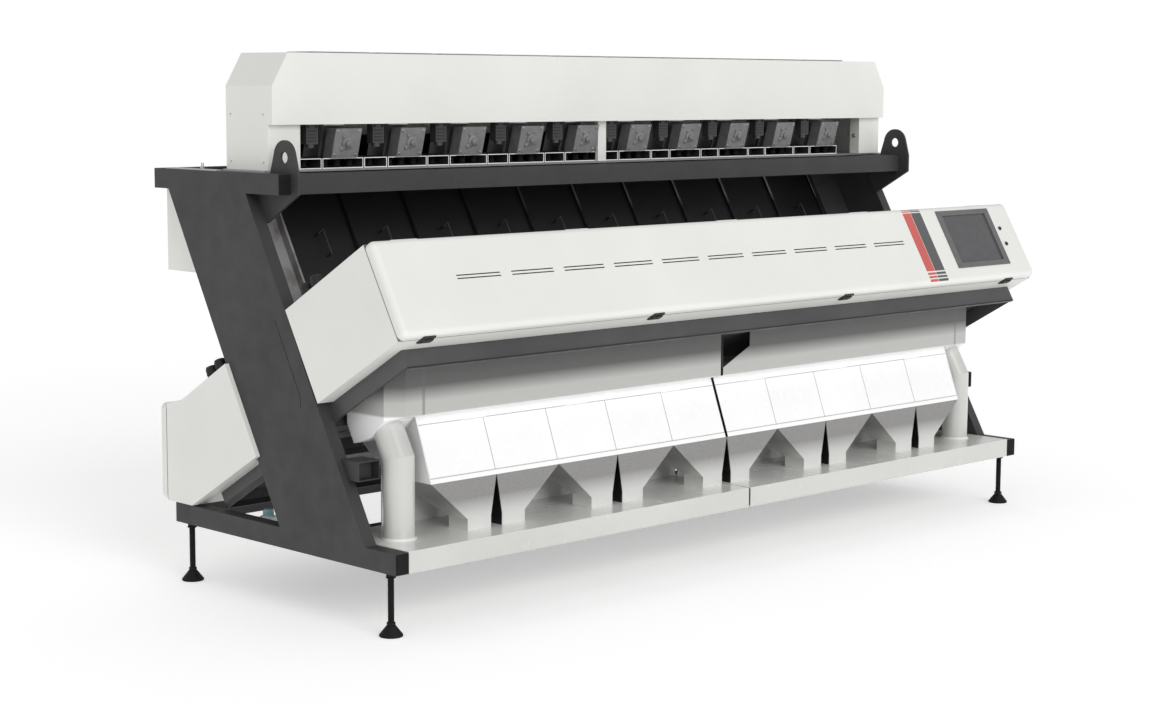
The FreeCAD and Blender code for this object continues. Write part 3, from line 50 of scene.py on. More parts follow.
# Sizes in millimetres, with depth counted from the front ends of the base beams
MM = 0.001
CENTRE_DEPTH = 706.111
HALF_ROW = 1626.5
PITCH = 325.3
FIRST = PITCH / 2 - HALF_ROW
FUNNEL_FRONT = 131.7
LID_SEAM = 536.5
REAR_SEAM = 1403.5
BASE_BEAM = 1874.5
TOP_BEAM = 1878
FOOT_DEPTHS = (("front", 65), ("rear", 1310))

# The inclined frame of the chutes and the optical boxes
TILT = math.radians(30)
TILT_DEPTH, TILT_HEIGHT = 420, 814
UPRIGHT = Matrix.Translation((0, -CENTRE_DEPTH * MM, 0)) @ Matrix.Scale(MM, 4)
TILTED = (Matrix.Translation((0, (TILT_DEPTH - CENTRE_DEPTH) * MM, TILT_HEIGHT * MM))
          @ Matrix.Rotation(-TILT, 4, "X") @ Matrix.Scale(MM, 4))
ACROSS = (0, math.cos(TILT), -math.sin(TILT))
ALONG = (0, math.sin(TILT), math.cos(TILT))
ACROSS_START = (TILT_DEPTH - CENTRE_DEPTH) * MM * math.cos(TILT) - TILT_HEIGHT * MM * math.sin(TILT)
ALONG_START = (TILT_DEPTH - CENTRE_DEPTH) * MM * math.sin(TILT) + TILT_HEIGHT * MM * math.cos(TILT)

# The ways that small parts face
FRONT = {"normal": (0, -1, 0), "up": (0, 0, 1)}
REAR = {"normal": (0, 1, 0), "up": (0, 0, 1)}
LEFT = {"normal": (-1, 0, 0), "up": (0, 0, 1)}
RIGHT = {"normal": (1, 0, 0), "up": (0, 0, 1)}
DOWN = {"normal": (0, 0, -1), "up": (0, 1, 0)}
SIDES = ((-1, "left"), (1, "right"))


# Materials

SOFT_EDGE = 0.0008


def shader(name):
    """A new material with its node tree and its main shader."""
    material = bpy.data.materials.new(name)
    material.use_nodes = True
    tree = material.node_tree
    return material, tree, tree.nodes["Principled BSDF"]


def add(tree, kind, **values):
    """A shader node, with values for its sockets or its own settings."""
    node = tree.nodes.new("ShaderNode" + kind)
    for key, value in values.items():
        if key in node.inputs:
            node.inputs[key].default_value = value
        else:
            setattr(node, key.lower(), value)
    return node


def stretched(tree, scale):
    """Object coordinates stretched by a scale along each axis."""
    where = add(tree, "TexCoord")
    mapping = add(tree, "Mapping")
    mapping.inputs["Scale"].default_value = scale
    tree.links.new(where.outputs["Object"], mapping.inputs["Vector"])
    return mapping.outputs["Vector"]


def noise(tree, scale, detail=3.0, stretch=(1, 1, 1), roughness=0.55):
    """Cloudy noise between 0 and 1 in stretched object coordinates."""
    node = add(tree, "TexNoise", Scale=scale, Detail=detail, Roughness=roughness)
    tree.links.new(stretched(tree, stretch), node.inputs["Vector"])
    return node.outputs["Fac"]


def ramp(tree, source, low, high, from_low=0.3, from_high=0.7):
    """A number between low and high, following a source."""
    node = add(tree, "MapRange")
    node.inputs["From Min"].default_value = from_low
    node.inputs["From Max"].default_value = from_high
    node.inputs["To Min"].default_value = low
    node.inputs["To Max"].default_value = high
    tree.links.new(source, node.inputs["Value"])
    return node.outputs["Result"]


def blend_colours(tree, source, dark, light):
    """A colour between dark and light that follows the middle of a source's range."""
    node = add(tree, "ValToRGB")
    node.color_ramp.elements[0].position = 0.32
    node.color_ramp.elements[1].position = 0.68
    node.color_ramp.elements[0].color = (*dark, 1)
    node.color_ramp.elements[1].color = (*light, 1)
    tree.links.new(source, node.inputs["Fac"])
    return node.outputs["Color"]


def bump(tree, bsdf, source, distance):
    """Relief of a height in metres that follows a source."""
    node = add(tree, "Bump", Strength=1.0, Distance=distance)
    tree.links.new(source, node.inputs["Height"])
    tree.links.new(node.outputs["Normal"], bsdf.inputs["Normal"])


def coat(name, dark, light, rough=(0.38, 0.5), grain=420, depth=0.00012, cloud=2.2, coat_weight=0.0):
    """Powder coat: a faint cloudiness, orange-peel grain and uneven gloss."""
    material, tree, bsdf = shader(name)
    cloudy = noise(tree, cloud, 4.0)
    tree.links.new(blend_colours(tree, cloudy, dark, light), bsdf.inputs["Base Color"])
    tree.links.new(ramp(tree, noise(tree, 14, 5.0), *rough), bsdf.inputs["Roughness"])
    bump(tree, bsdf, noise(tree, grain, 2.0), depth)
    bsdf.inputs["Coat Weight"].default_value = coat_weight
    bsdf.inputs["Coat Roughness"].default_value = 0.25
    return material


def brushed(name, dark, light, stretch, rough=(0.28, 0.45), metal=1.0, depth=0.00005, scale=60):
    """Sheet metal with fine brush strokes across the short axis of the stretch."""
    material, tree, bsdf = shader(name)
    strokes = noise(tree, scale, 6.0, stretch, 0.7)
    tree.links.new(blend_colours(tree, strokes, dark, light), bsdf.inputs["Base Color"])
    tree.links.new(ramp(tree, strokes, *rough), bsdf.inputs["Roughness"])
    bump(tree, bsdf, strokes, depth)
    bsdf.inputs["Metallic"].default_value = metal
    return material


def tinted(tree, bsdf, factor, tint):
    """Mix the shader's colour so far with a tint by a factor."""
    link = bsdf.inputs["Base Color"].links[0]
    mix = add(tree, "Mix", data_type="RGBA")
    mix.inputs["B"].default_value = (*tint, 1)
    tree.links.new(factor, mix.inputs["Factor"])
    tree.links.new(link.from_socket, mix.inputs["A"])
    tree.links.new(mix.outputs["Result"], bsdf.inputs["Base Color"])


def measured(tree, direction, start):
    """How far, in metres, a point lies from a start along a direction, in object coordinates."""
    where = add(tree, "TexCoord")
    dot = add(tree, "VectorMath", operation="DOT_PRODUCT")
    dot.inputs[1].default_value = direction
    tree.links.new(where.outputs["Object"], dot.inputs[0])
    less = add(tree, "Math", operation="SUBTRACT")
    less.inputs[1].default_value = start
    tree.links.new(dot.outputs["Value"], less.inputs[0])
    return less.outputs["Value"]


def near(tree, distance, half_width):
    """One within half a width of zero distance, falling to nothing over a soft edge."""
    size = add(tree, "Math", operation="ABSOLUTE")
    tree.links.new(distance, size.inputs[0])
    return ramp(tree, size.outputs["Value"], 1.0, 0.0, half_width, half_width + SOFT_EDGE)


def from_joints(tree, pitch=PITCH):
    """How far along the row, in metres, a point lies from the nearest joint of a pitch."""
    size = add(tree, "Math", operation="ABSOLUTE")
    fold = add(tree, "Math", operation="PINGPONG")
    fold.inputs[1].default_value = pitch / 2 * MM
    tree.links.new(measured(tree, (1, 0, 0), 0), size.inputs[0])
    tree.links.new(size.outputs["Value"], fold.inputs[0])
    return fold.outputs["Value"]


def times(tree, first, second):
    """The product of two numbers."""
    node = add(tree, "Math", operation="MULTIPLY")
    tree.links.new(first, node.inputs[0])
    tree.links.new(second, node.inputs[1])
    return node.outputs["Value"]


def moulded(name, dark, light, rough=(0.4, 0.6), grain=900, depth=0.0001):
    """Moulded plastic or rubber with a fine spark-eroded grain."""
    material, tree, bsdf = shader(name)
    tree.links.new(blend_colours(tree, noise(tree, 30, 4.0), dark, light), bsdf.inputs["Base Color"])
    tree.links.new(ramp(tree, noise(tree, 60, 3.0), *rough), bsdf.inputs["Roughness"])
    bump(tree, bsdf, noise(tree, grain, 2.0), depth)
    return material


def glass(name, tint, rough):
    """Clear glass with faint smears."""
    material, tree, bsdf = shader(name)
    smears = noise(tree, 6, 5.0, (1, 1, 3))
    tree.links.new(blend_colours(tree, smears, tuple(c * 0.94 for c in tint), tint),
                   bsdf.inputs["Base Color"])
    tree.links.new(ramp(tree, smears, rough * 0.6, rough), bsdf.inputs["Roughness"])
    bsdf.inputs["Transmission Weight"].default_value = 0.85
    bsdf.inputs["IOR"].default_value = 1.5
    return material


WHITE_TONES = (0.745, 0.75, 0.715), (0.785, 0.79, 0.755)
GLOSS_TONES = (0.93, 0.93, 0.93), (0.97, 0.97, 0.97)


def seam_coat(name, direction, place):
    """The white coat with the dark line of a gasket along a seam."""
    material = coat(name, *WHITE_TONES)
    tree = material.node_tree
    half_gasket = 0.0019
    line = near(tree, measured(tree, direction, place), half_gasket)
    tinted(tree, tree.nodes["Principled BSDF"], line, (0.22, 0.22, 0.22))
    return material


def gap_painted_shade(tree, bsdf):
    """Painted shade: the faces in the gap between the left and the right half are painted black."""
    half_gap = 0.0072
    tinted(tree, bsdf, near(tree, measured(tree, (1, 0, 0), 0), half_gap), (0.004, 0.004, 0.004))


def module_coat():
    """The white coat of the discharge modules, bright round the doors, with painted shade on the skirt,
    under the guard, on the cheeks and in the gap between the halves.
    """
    material = coat("module_coat", *GLOSS_TONES, rough=(0.3, 0.42), coat_weight=0.2)
    tree = material.node_tree
    bsdf = tree.nodes["Principled BSDF"]
    skirt_foot, under_guard = (0.764, 0.774), (0.82, 0.88)
    cheek_inside, cheek_outside, cheek_height = (1.6255, 1.626), (1.639, 1.64), (0.58, 0.78)
    height = measured(tree, (0, 0, 1), 0)
    # Painted shade on the skirt, which lies under the overhang above it.
    tinted(tree, bsdf, ramp(tree, height, 0.0, 0.85, *skirt_foot), (0.38, 0.38, 0.36))
    # Painted shade, darker still under the guard.
    tinted(tree, bsdf, ramp(tree, height, 0.0, 0.88, *under_guard), (0.05, 0.05, 0.05))
    row = add(tree, "Math", operation="ABSOLUTE")
    tree.links.new(measured(tree, (1, 0, 0), 0), row.inputs[0])
    cheek = times(tree, ramp(tree, row.outputs["Value"], 0.0, 1.0, *cheek_inside),
                  ramp(tree, row.outputs["Value"], 1.0, 0.0, *cheek_outside))
    # Painted shade on the cheeks, darker higher up.
    shade = times(tree, cheek, ramp(tree, height, 0.2, 0.5, *cheek_height))
    tinted(tree, bsdf, shade, (0.12, 0.12, 0.12))
    # Painted shade in the gap between the halves.
    gap_painted_shade(tree, bsdf)
    return material


def door_coat():
    """Gloss white with grey hairlines at the panes' joints and along the top and bottom edges, and
    painted shade in the gap between the halves.
    """
    material = coat("door_coat", *GLOSS_TONES, rough=(0.22, 0.3), coat_weight=0.3)
    tree = material.node_tree
    bsdf = tree.nodes["Principled BSDF"]
    hairline, bottom_edge, top_edge = 0.0014, (0.534, 0.5355), (0.7215, 0.723)
    tinted(tree, bsdf, near(tree, from_joints(tree), hairline), (0.42, 0.42, 0.43))
    # Painted shade in the gap between the halves.
    gap_painted_shade(tree, bsdf)
    height = measured(tree, (0, 0, 1), 0)
    tinted(tree, bsdf, ramp(tree, height, 0.75, 0.0, *bottom_edge), (0.45, 0.45, 0.46))
    tinted(tree, bsdf, ramp(tree, height, 0.0, 0.75, *top_edge), (0.45, 0.45, 0.46))
    return material


def funnel_steel():
    """Sheet steel with a painted reflection that lightens it towards its outlets, and painted shade in
    the slots between the pairs.
    """
    material = brushed("funnel_steel", (0.25, 0.247, 0.243), (0.33, 0.326, 0.32), (1, 6, 6),
                       rough=(0.3, 0.42), metal=0.6)
    tree = material.node_tree
    bsdf = tree.nodes["Principled BSDF"]
    outlet_height, half_slot, behind_front = (0.322, 0.44), 0.034, (0.0025, 0.004)
    height = measured(tree, (0, 0, 1), 0)
    # Painted reflection of the white tray, lighter towards the outlets.
    tinted(tree, bsdf, ramp(tree, height, 0.97, 0.0, *outlet_height), (0.98, 0.98, 0.96))
    front = measured(tree, (0, 1, 0), (FUNNEL_FRONT - CENTRE_DEPTH) * MM)
    slots = near(tree, from_joints(tree, 2 * PITCH), half_slot)
    deep = ramp(tree, front, 0.0, 0.97, *behind_front)
    # Painted shade: near black in the slots between the pairs, behind the front faces.
    tinted(tree, bsdf, times(tree, slots, deep), (0.006, 0.006, 0.006))
    return material


def tray_coat():
    """The gloss coat of the trays, with painted light on top where it lies between the funnels."""
    material = coat("tray_powder_coat", (0.55, 0.55, 0.53), (0.6, 0.6, 0.575), rough=(0.2, 0.28),
                    coat_weight=0.6)
    tree = material.node_tree
    top_face, pipe_foot = (0.3142, 0.3148), (0.32, 0.325)
    height = measured(tree, (0, 0, 1), 0)
    top = times(tree, ramp(tree, height, 0.0, 0.9, *top_face), ramp(tree, height, 1.0, 0.0, *pipe_foot))
    # Painted light and reflection on the top face, where the modules shade it.
    tinted(tree, tree.nodes["Principled BSDF"], top, (0.9, 0.9, 0.87))
    return material


def drive_coat():
    """The grey coat of the drives, and the darker one of the gate motors between them."""
    material = coat("drive_grey_coat", (0.17, 0.17, 0.175), (0.23, 0.23, 0.235), rough=(0.35, 0.5),
                    grain=260, depth=0.0006, cloud=25)
    tree = material.node_tree
    half_motor = 0.036
    motors = near(tree, from_joints(tree), half_motor)
    tinted(tree, tree.nodes["Principled BSDF"], motors, (0.045, 0.045, 0.047))
    return material


def dull_black(name, rough):
    """Black rubber or coat that hardly shines."""
    material = moulded(name, (0.006, 0.006, 0.006), (0.012, 0.012, 0.012), rough=rough, grain=500)
    material.node_tree.nodes["Principled BSDF"].inputs["Specular IOR Level"].default_value = 0.2
    return material


def guard_coat():
    """The dark coat of the guards, with a darker line along the lower lip."""
    material = coat("guard_coat", (0.047, 0.047, 0.05), (0.07, 0.07, 0.073), rough=(0.35, 0.5))
    tree = material.node_tree
    lip = (-0.0665, -0.0655)
    rise = measured(tree, ALONG, ALONG_START)
    tinted(tree, tree.nodes["Principled BSDF"], ramp(tree, rise, 0.9, 0.0, *lip), (0.008, 0.008, 0.008))
    return material


def chute_anodised():
    """Black anodised channels, painted lighter low down where they are out of the beam's shadow, with
    painted highlights on the upper rims towards the right.
    """
    material = brushed("chute_anodised", (0.006, 0.006, 0.0065), (0.014, 0.014, 0.015), (9, 1.2, 1.2),
                       rough=(0.3, 0.42), metal=0.55)
    tree = material.node_tree
    bsdf = tree.nodes["Principled BSDF"]
    low_end, high_end = (1.28, 1.6), (1.42, 1.47)
    rim_edge, towards_right = (0.2065, 0.2075), (-0.7, 1.3)
    height = measured(tree, (0, 0, 1), 0)
    # Painted light low down; higher up is left darker as the beam's shade.
    tinted(tree, bsdf, ramp(tree, height, 0.8, 0.0, *low_end), (0.03, 0.03, 0.032))
    rim = ramp(tree, measured(tree, ACROSS, ACROSS_START), 1.0, 0.0, *rim_edge)
    right = ramp(tree, measured(tree, (1, 0, 0), 0), 0.0, 0.6, *towards_right)
    upper = ramp(tree, height, 0.08, 1.0, *high_end)
    # Painted highlight on the upper rims, towards the right.
    tinted(tree, bsdf, times(tree, times(tree, rim, right), upper), (0.9, 0.9, 0.9))
    return material


def chute_frame_coat():
    """The dark coat of the chute frame, whose left end plate is bare galvanised sheet."""
    material = coat("chute_frame_coat", (0.03, 0.03, 0.031), (0.039, 0.039, 0.04), rough=(0.45, 0.6),
                    grain=650, depth=0.0002)
    tree = material.node_tree
    bsdf = tree.nodes["Principled BSDF"]
    end_plate = (-1.61, -1.605)
    left = ramp(tree, measured(tree, (1, 0, 0), 0), 1.0, 0.0, *end_plate)
    tinted(tree, bsdf, left, (0.3, 0.3, 0.305))
    stain = ramp(tree, noise(tree, 7, 3.0), 0.0, 0.55, 0.5, 0.62)
    tinted(tree, bsdf, times(tree, left, stain), (0.12, 0.085, 0.06))
    return material


WHITE = coat("white_powder_coat", *WHITE_TONES)
LID_WHITE = seam_coat("lid_powder_coat", ACROSS, ACROSS_START - LID_SEAM * MM)
REAR_WHITE = seam_coat("rear_powder_coat", (0, 1, 0), (REAR_SEAM - CENTRE_DEPTH) * MM)
MODULE = module_coat()
TRAY = tray_coat()
DOOR = door_coat()
BRIGHT_WHITE = coat("gloss_white_coat", *GLOSS_TONES, rough=(0.22, 0.3), coat_weight=0.3)
CHARCOAL = coat("charcoal_powder_coat", (0.031, 0.031, 0.032), (0.039, 0.039, 0.04), rough=(0.5, 0.66),
                grain=650, depth=0.0003)
COLLAR = coat("collar_grey_coat", (0.2, 0.2, 0.2), (0.3, 0.3, 0.3), rough=(0.4, 0.55))
GUARD = guard_coat()
FOOT_BLACK = dull_black("foot_black_coat", (0.4, 0.6))
CHUTE = chute_anodised()
CHUTE_FRAME = chute_frame_coat()
FUNNEL = funnel_steel()
STEEL = brushed("bright_steel", (0.5, 0.5, 0.5), (0.66, 0.66, 0.66), (1, 8, 8), rough=(0.22, 0.36))
WIRE = brushed("dull_wire", (0.1, 0.1, 0.1), (0.17, 0.17, 0.17), (4, 4, 4), rough=(0.3, 0.42))
ALUMINIUM = brushed("aluminium_sheet", (0.5, 0.5, 0.51), (0.62, 0.62, 0.63), (6, 1, 1),
                    rough=(0.35, 0.5))
DRIVE = drive_coat()
BLACK = moulded("black_moulding", (0.012, 0.012, 0.013), (0.022, 0.022, 0.024))
GREY = moulded("grey_moulding", (0.115, 0.115, 0.118), (0.14, 0.14, 0.143))
SCREEN = moulded("screen_face", (0.078, 0.078, 0.082), (0.092, 0.092, 0.096), rough=(0.12, 0.2),
                 grain=1500, depth=0.00002)
RUBBER = dull_black("rubber", (0.7, 0.85))
GLASS = glass("sight_glass", (0.86, 0.93, 0.92), 0.08)
TEAL = moulded("teal_moulding", (0.22, 0.4, 0.44), (0.28, 0.47, 0.5))
MILKY = moulded("milky_moulding", (0.62, 0.66, 0.67), (0.72, 0.75, 0.76), rough=(0.2, 0.35))
RED_FILM = coat("red_film", (0.54, 0.10, 0.085), (0.60, 0.125, 0.105), rough=(0.3, 0.4))
GREY_FILM = coat("grey_film", (0.085, 0.087, 0.09), (0.105, 0.107, 0.11), rough=(0.3, 0.4))
ZINC = brushed("zinc_plate", (0.42, 0.42, 0.41), (0.58, 0.57, 0.55), (5, 5, 5), rough=(0.3, 0.5))

looks = {
    WHITE: ("hood_shell", "feed_rear_cover", "electrical_cabinet"),
    LID_WHITE: ("front_box_shell", "front_lid"),
    REAR_WHITE: ("rear_box_shell", "rear_lid"),
    MODULE: ("discharge_module_left", "discharge_module_right"),
    TRAY: ("tray_left", "tray_right", "end_pipe_left", "end_pipe_right"),
    DOOR: ("inspection_door_left", "inspection_door_right"),
    BRIGHT_WHITE: ("lid_hinges",),
    CHARCOAL: ("base_beam_left", "base_beam_right", "base_rails", "column_left", "column_right",
               "top_beam_left", "top_beam_right", "top_rail_front", "top_rail_rear",
               "lifting_plate_left", "lifting_plate_right", "feeder_bases"),
    CHUTE_FRAME: ("chute_frame",),
    COLLAR: ("inlet_collars",),
    GUARD: ("front_guard", "rear_guard"),
    FOOT_BLACK: ("foot_front_left", "foot_front_right", "foot_rear_left", "foot_rear_right"),
    CHUTE: ("chutes",),
    FUNNEL: ("funnels",),
    STEEL: ("feed_hoppers", "feeder_troughs"),
    WIRE: ("chute_handles",),
    ALUMINIUM: ("feeder_platform", "ejector_bar", "wiper_rails", "front_glass_wiper",
                "rear_glass_wiper"),
    BLACK: ("cameras", "cable_glands", "lid_latch_1", "lid_latch_2", "lid_latch_3", "lid_latch_4",
            "button_lower", "button_upper"),
    GREY: ("screen_bezel", "air_filter"),
    SCREEN: ("touch_screen",),
    GLASS: ("sight_glasses", "lamps"),
    DRIVE: ("feeder_drives",),
}
for material, names in looks.items():
    for name in names:
        mesh = nodes[name].data
        mesh.materials.clear()
        mesh.materials.append(material)


# Mesh helpers

def piece(name, mesh, material, body="machine", smooth=40):
    """An object from a bmesh, with its material and its body."""
    bmesh.ops.recalc_face_normals(mesh, faces=mesh.faces)
    data = bpy.data.meshes.new(name)
    mesh.to_mesh(data)
    mesh.free()
    thing = bpy.data.objects.new(name, data)
    bpy.context.scene.collection.objects.link(thing)
    data.materials.append(material)
    if smooth:
        data.shade_smooth()
        data.set_sharp_from_angle(angle=math.radians(smooth))
    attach(thing, body)
    return thing


def lathe(mesh, profile, place, segments=24):
    """Turn (radius, height) points round the local Z axis; ends at radius 0 are closed."""
    rings = []
    for radius, height in profile:
        if radius < 1e-6:
            rings.append([mesh.verts.new(place @ Vector((0, 0, height)))])
            continue
        ring = []
        for step in range(segments):
            angle = 2 * math.pi * step / segments
            ring.append(mesh.verts.new(place @ Vector((radius * math.cos(angle),
                                                       radius * math.sin(angle), height))))
        rings.append(ring)
    for low, high in zip(rings, rings[1:]):
        for step in range(segments):
            after = (step + 1) % segments
            corners = [low[step % len(low)], low[after % len(low)], high[after % len(high)],
                       high[step % len(high)]]
            unique = list(dict.fromkeys(corners))
            if len(unique) > 2:
                mesh.faces.new(unique)


def nut(mesh, place, flats, height, bore=0.0):
    """A chamfered hexagon nut or bolt head standing on the local XY plane."""
    radius = flats / math.sqrt(3)
    cut = 0.12 * height
    lathe(mesh, [(bore, 0), (radius * 0.93, 0), (radius, cut), (radius, height - cut),
                 (radius * 0.93, height), (bore, height)], place, 6)


def screw(mesh, place, radius, height):
    """A round-headed socket screw on its washer."""
    lathe(mesh, [(0, 0), (radius * 1.5, 0), (radius * 1.5, height * 0.18),
                 (radius * 1.05, height * 0.2), (radius * 1.05, height * 0.72),
                 (radius * 0.8, height), (radius * 0.5, height),
                 (radius * 0.42, height * 0.55), (0, height * 0.5)], place, 16)


CORNER_STEPS = 4


def plate(mesh, place, size, radius=0.0, bevel=0.0):
    """A flat plate with rounded corners and eased edges; place is the middle of its back face."""
    wide, high, thick = size
    radius = max(radius, 0.01)
    outline = []
    for turn, (sx, sy) in enumerate(((1, 1), (-1, 1), (-1, -1), (1, -1))):
        for step in range(CORNER_STEPS + 1):
            angle = math.pi / 2 * (turn + step / CORNER_STEPS)
            outline.append((sx * (wide / 2 - radius) + radius * math.cos(angle),
                            sy * (high / 2 - radius) + radius * math.sin(angle)))
    levels = [(0, 0), (0, thick - bevel), (bevel, thick)] if bevel else [(0, 0), (0, thick)]
    rings = []
    for inset, level in levels:
        scale_x, scale_y = 1 - 2 * inset / wide, 1 - 2 * inset / high
        rings.append([mesh.verts.new(place @ Vector((x * scale_x, y * scale_y, level)))
                      for x, y in outline])
    count = len(outline)
    for low, high_ring in zip(rings, rings[1:]):
        for step in range(count):
            after = (step + 1) % count
            mesh.faces.new((low[step], low[after], high_ring[after], high_ring[step]))
    mesh.faces.new(rings[-1])
    mesh.faces.new(list(reversed(rings[0])))


def at(base, x, y, z, normal=(0, 0, 1), up=(0, 1, 0)):
    """A place on the machine: base frame, point in millimetres, and the way that local Z faces."""
    z_axis = Vector(normal).normalized()
    x_axis = Vector(up).cross(z_axis).normalized()
    y_axis = z_axis.cross(x_axis)
    turn = Matrix((x_axis, y_axis, z_axis)).transposed().to_4x4()
    return base @ Matrix.Translation((x, y, z)) @ turn


# Feet: threaded stems, lock nuts and rubber rings

def foot_thread():
    """The profile of a stem's thread, which ends below the beam when the foot is screwed up."""
    root, crest, lead = 11.05, 11.9, 2.6
    thread = [(10.4, 53.5)]
    height = 54.0
    while height < 211:
        thread += [(root, height), (crest, height + 1.0), (crest, height + 1.3), (root, height + 2.3)]
        height += lead
    return thread + [(10.4, 213)]


def feet():
    for side, side_name in SIDES:
        for end_name, depth in FOOT_DEPTHS:
            foot, body = f"{end_name}_{side_name}", f"{end_name}_{side_name}_foot"
            x = side * BASE_BEAM
            mesh = bmesh.new()
            base = at(UPRIGHT, x, depth, 0)
            nut(mesh, at(UPRIGHT, x, depth, 41), 30, 11, 11.2)
            piece(f"foot_pad_nut_{foot}", mesh, FOOT_BLACK, body, 30)
            mesh = bmesh.new()
            lathe(mesh, foot_thread(), base, 20)
            piece(f"foot_thread_{foot}", mesh, FOOT_BLACK, body, 30)
            mesh = bmesh.new()
            nut(mesh, at(UPRIGHT, x, depth, 219), 32, 14, 14)
            lathe(mesh, [(12.1, 215), (19, 215), (19, 218), (12.1, 218)], base, 24)
            piece(f"foot_lock_nut_{foot}", mesh, FOOT_BLACK, "machine", 30)
            mesh = bmesh.new()
            lathe(mesh, [(38, 0.1), (42.4, 0.1), (43.6, 2.2), (43.6, 6.4), (42.4, 8.4), (38, 8.4)],
                  base, 40)
            piece(f"foot_rubber_{foot}", mesh, RUBBER, body)


feet()


# Feeders: drive plates, buffers and gate motors

BUFFER = ((0, 0), (17, 0), (19, 3), (14, 9), (14, 22), (19, 28), (17, 33), (0, 33))
BUFFER_DEPTH, BUFFER_LOW = 885, 1653.2


def feeders():
    """What stands out on the drives, the buffers under them and the gate motors between them."""
    lean = math.radians(15)
    drive_depth, drive_low, rise = 832, 1690, 57.3
    screw_out, screw_up = 52, 47
    rib_depth, rib_low, rib_step = 824, 1757, 13
    up = (0, -math.sin(lean), math.cos(lean))
    outward = (0, -math.cos(lean), -math.sin(lean))
    screws, bosses, buffers, gates = bmesh.new(), bmesh.new(), bmesh.new(), bmesh.new()
    for number in range(10):
        x = FIRST + PITCH * number
        gate_x = x - PITCH / 2
        middle = Vector((x, drive_depth - rise * math.tan(lean), drive_low + rise))
        for right in (-1, 1):
            for high in (-1, 1):
                spot = middle + Vector((right * screw_out, 0, 0)) + Vector(up) * (high * screw_up)
                screw(screws, at(UPRIGHT, *spot, outward, up), 4.2, 6)
        lathe(bosses, [(0, 0), (25, 0), (25, 4), (21, 6.5), (13, 6.5), (12, 15), (8, 17), (0, 17)],
              at(UPRIGHT, *middle, outward, up), 28)
        for dx, dz, size in ((-18, 26, 9), (16, 24, 7), (24, -14, 8), (-22, -22, 10)):
            spot = middle + Vector((dx, 0, 0)) + Vector(up) * dz
            lathe(bosses, [(0, 0), (size, 0), (size, 3), (size * 0.7, 5.5), (0, 6)],
                  at(UPRIGHT, *spot, outward, up), 16)
        for dx in (-62, 0, 62):
            lathe(buffers, BUFFER, at(UPRIGHT, x + dx, BUFFER_DEPTH, BUFFER_LOW), 20)
        slim = [(max(radius - 2, 0), height) for radius, height in BUFFER]
        lathe(buffers, slim, at(UPRIGHT, gate_x, BUFFER_DEPTH, BUFFER_LOW), 20)
        for step in range(4):
            plate(gates, at(UPRIGHT, gate_x, rib_depth, rib_low + rib_step * step, **FRONT),
                  (44, 6, 2.5), 1.5)
        for dx in (-19, 19):
            screw(gates, at(UPRIGHT, gate_x + dx, rib_depth, 1812, **FRONT), 3.4, 5)
    piece("feeder_plate_screws", screws, STEEL)
    piece("feeder_plate_bosses", bosses, DRIVE)
    piece("feeder_rubber_buffers", buffers, RUBBER)
    piece("gate_motor_ribs", gates, BLACK)


def base_rims():
    """Bright edges round the front ends of the feeder bases and of the boxes between them."""
    depth, rim, thick = 843, 3, 1.2
    rims = bmesh.new()
    for number in range(10):
        for middle, width in ((FIRST + PITCH * number, 200), (FIRST + PITCH * (number - 0.5), 114)):
            for low in (1650, 1687):
                plate(rims, at(UPRIGHT, middle, depth, low + rim / 2, **FRONT),
                      (width, rim, thick), 0.5)
            for side in (-1, 1):
                plate(rims, at(UPRIGHT, middle + side * (width / 2 - rim / 2), depth, 1670, **FRONT),
                      (rim, 34, thick), 0.5)
    piece("feeder_base_rims", rims, BRIGHT_WHITE)


feeders()
base_rims()


# Stripes on the front lid

LID_FACE, LID_HEIGHT, LID_RADIUS = -578, 380, 24


def lid_skin(height, proud):
    """A point on the lid's front, in the inclined frame, following its rounded edges."""
    low, high = LID_RADIUS, LID_HEIGHT - LID_RADIUS
    if low <= height <= high:
        return LID_FACE - proud, height
    centre, way = (low, -1) if height < low else (high, 1)
    angle = math.asin(max(-1, min(1, way * (height - centre) / LID_RADIUS)))
    return (LID_FACE + LID_RADIUS - (LID_RADIUS + proud) * math.cos(angle),
            centre + way * (LID_RADIUS + proud) * math.sin(angle))


def film(mesh, left, right, low, high):
    """A thin film on the lid, in short steps where the lid is rounded."""
    rounded = low < LID_RADIUS or high > LID_HEIGHT - LID_RADIUS
    steps = max(1, int((high - low) / 4)) if rounded else 6
    rows = []
    for step in range(steps + 1):
        height = low + (high - low) * step / steps
        row = []
        for proud in (0.05, 0.5):
            across, along = lid_skin(height, proud)
            row += [mesh.verts.new(TILTED @ Vector((x, across, along))) for x in (left, right)]
        rows.append(row)
    for a, b in zip(rows, rows[1:]):
        mesh.faces.new((a[2], a[3], b[3], b[2]))
        mesh.faces.new((a[0], b[0], b[1], a[1]))
        mesh.faces.new((a[0], a[2], b[2], b[0]))
        mesh.faces.new((a[1], b[1], b[3], a[3]))
    first, last = rows[0], rows[-1]
    mesh.faces.new((first[0], first[1], first[3], first[2]))
    mesh.faces.new((last[0], last[2], last[3], last[1]))


def stripes():
    for name, material, left, right in (("red", RED_FILM, 1119, 1177), ("grey", GREY_FILM, 1180, 1250)):
        mesh = bmesh.new()
        film(mesh, left, right, 63, 352)
        for low, high in ((357, 362), (366, 370), (45, 56), (29, 39), (12, 23)):
            film(mesh, left, right, low, high)
        piece(f"lid_stripe_{name}", mesh, material, "front_cover", 30)


stripes()


# Glands, latches, bolts and other small parts

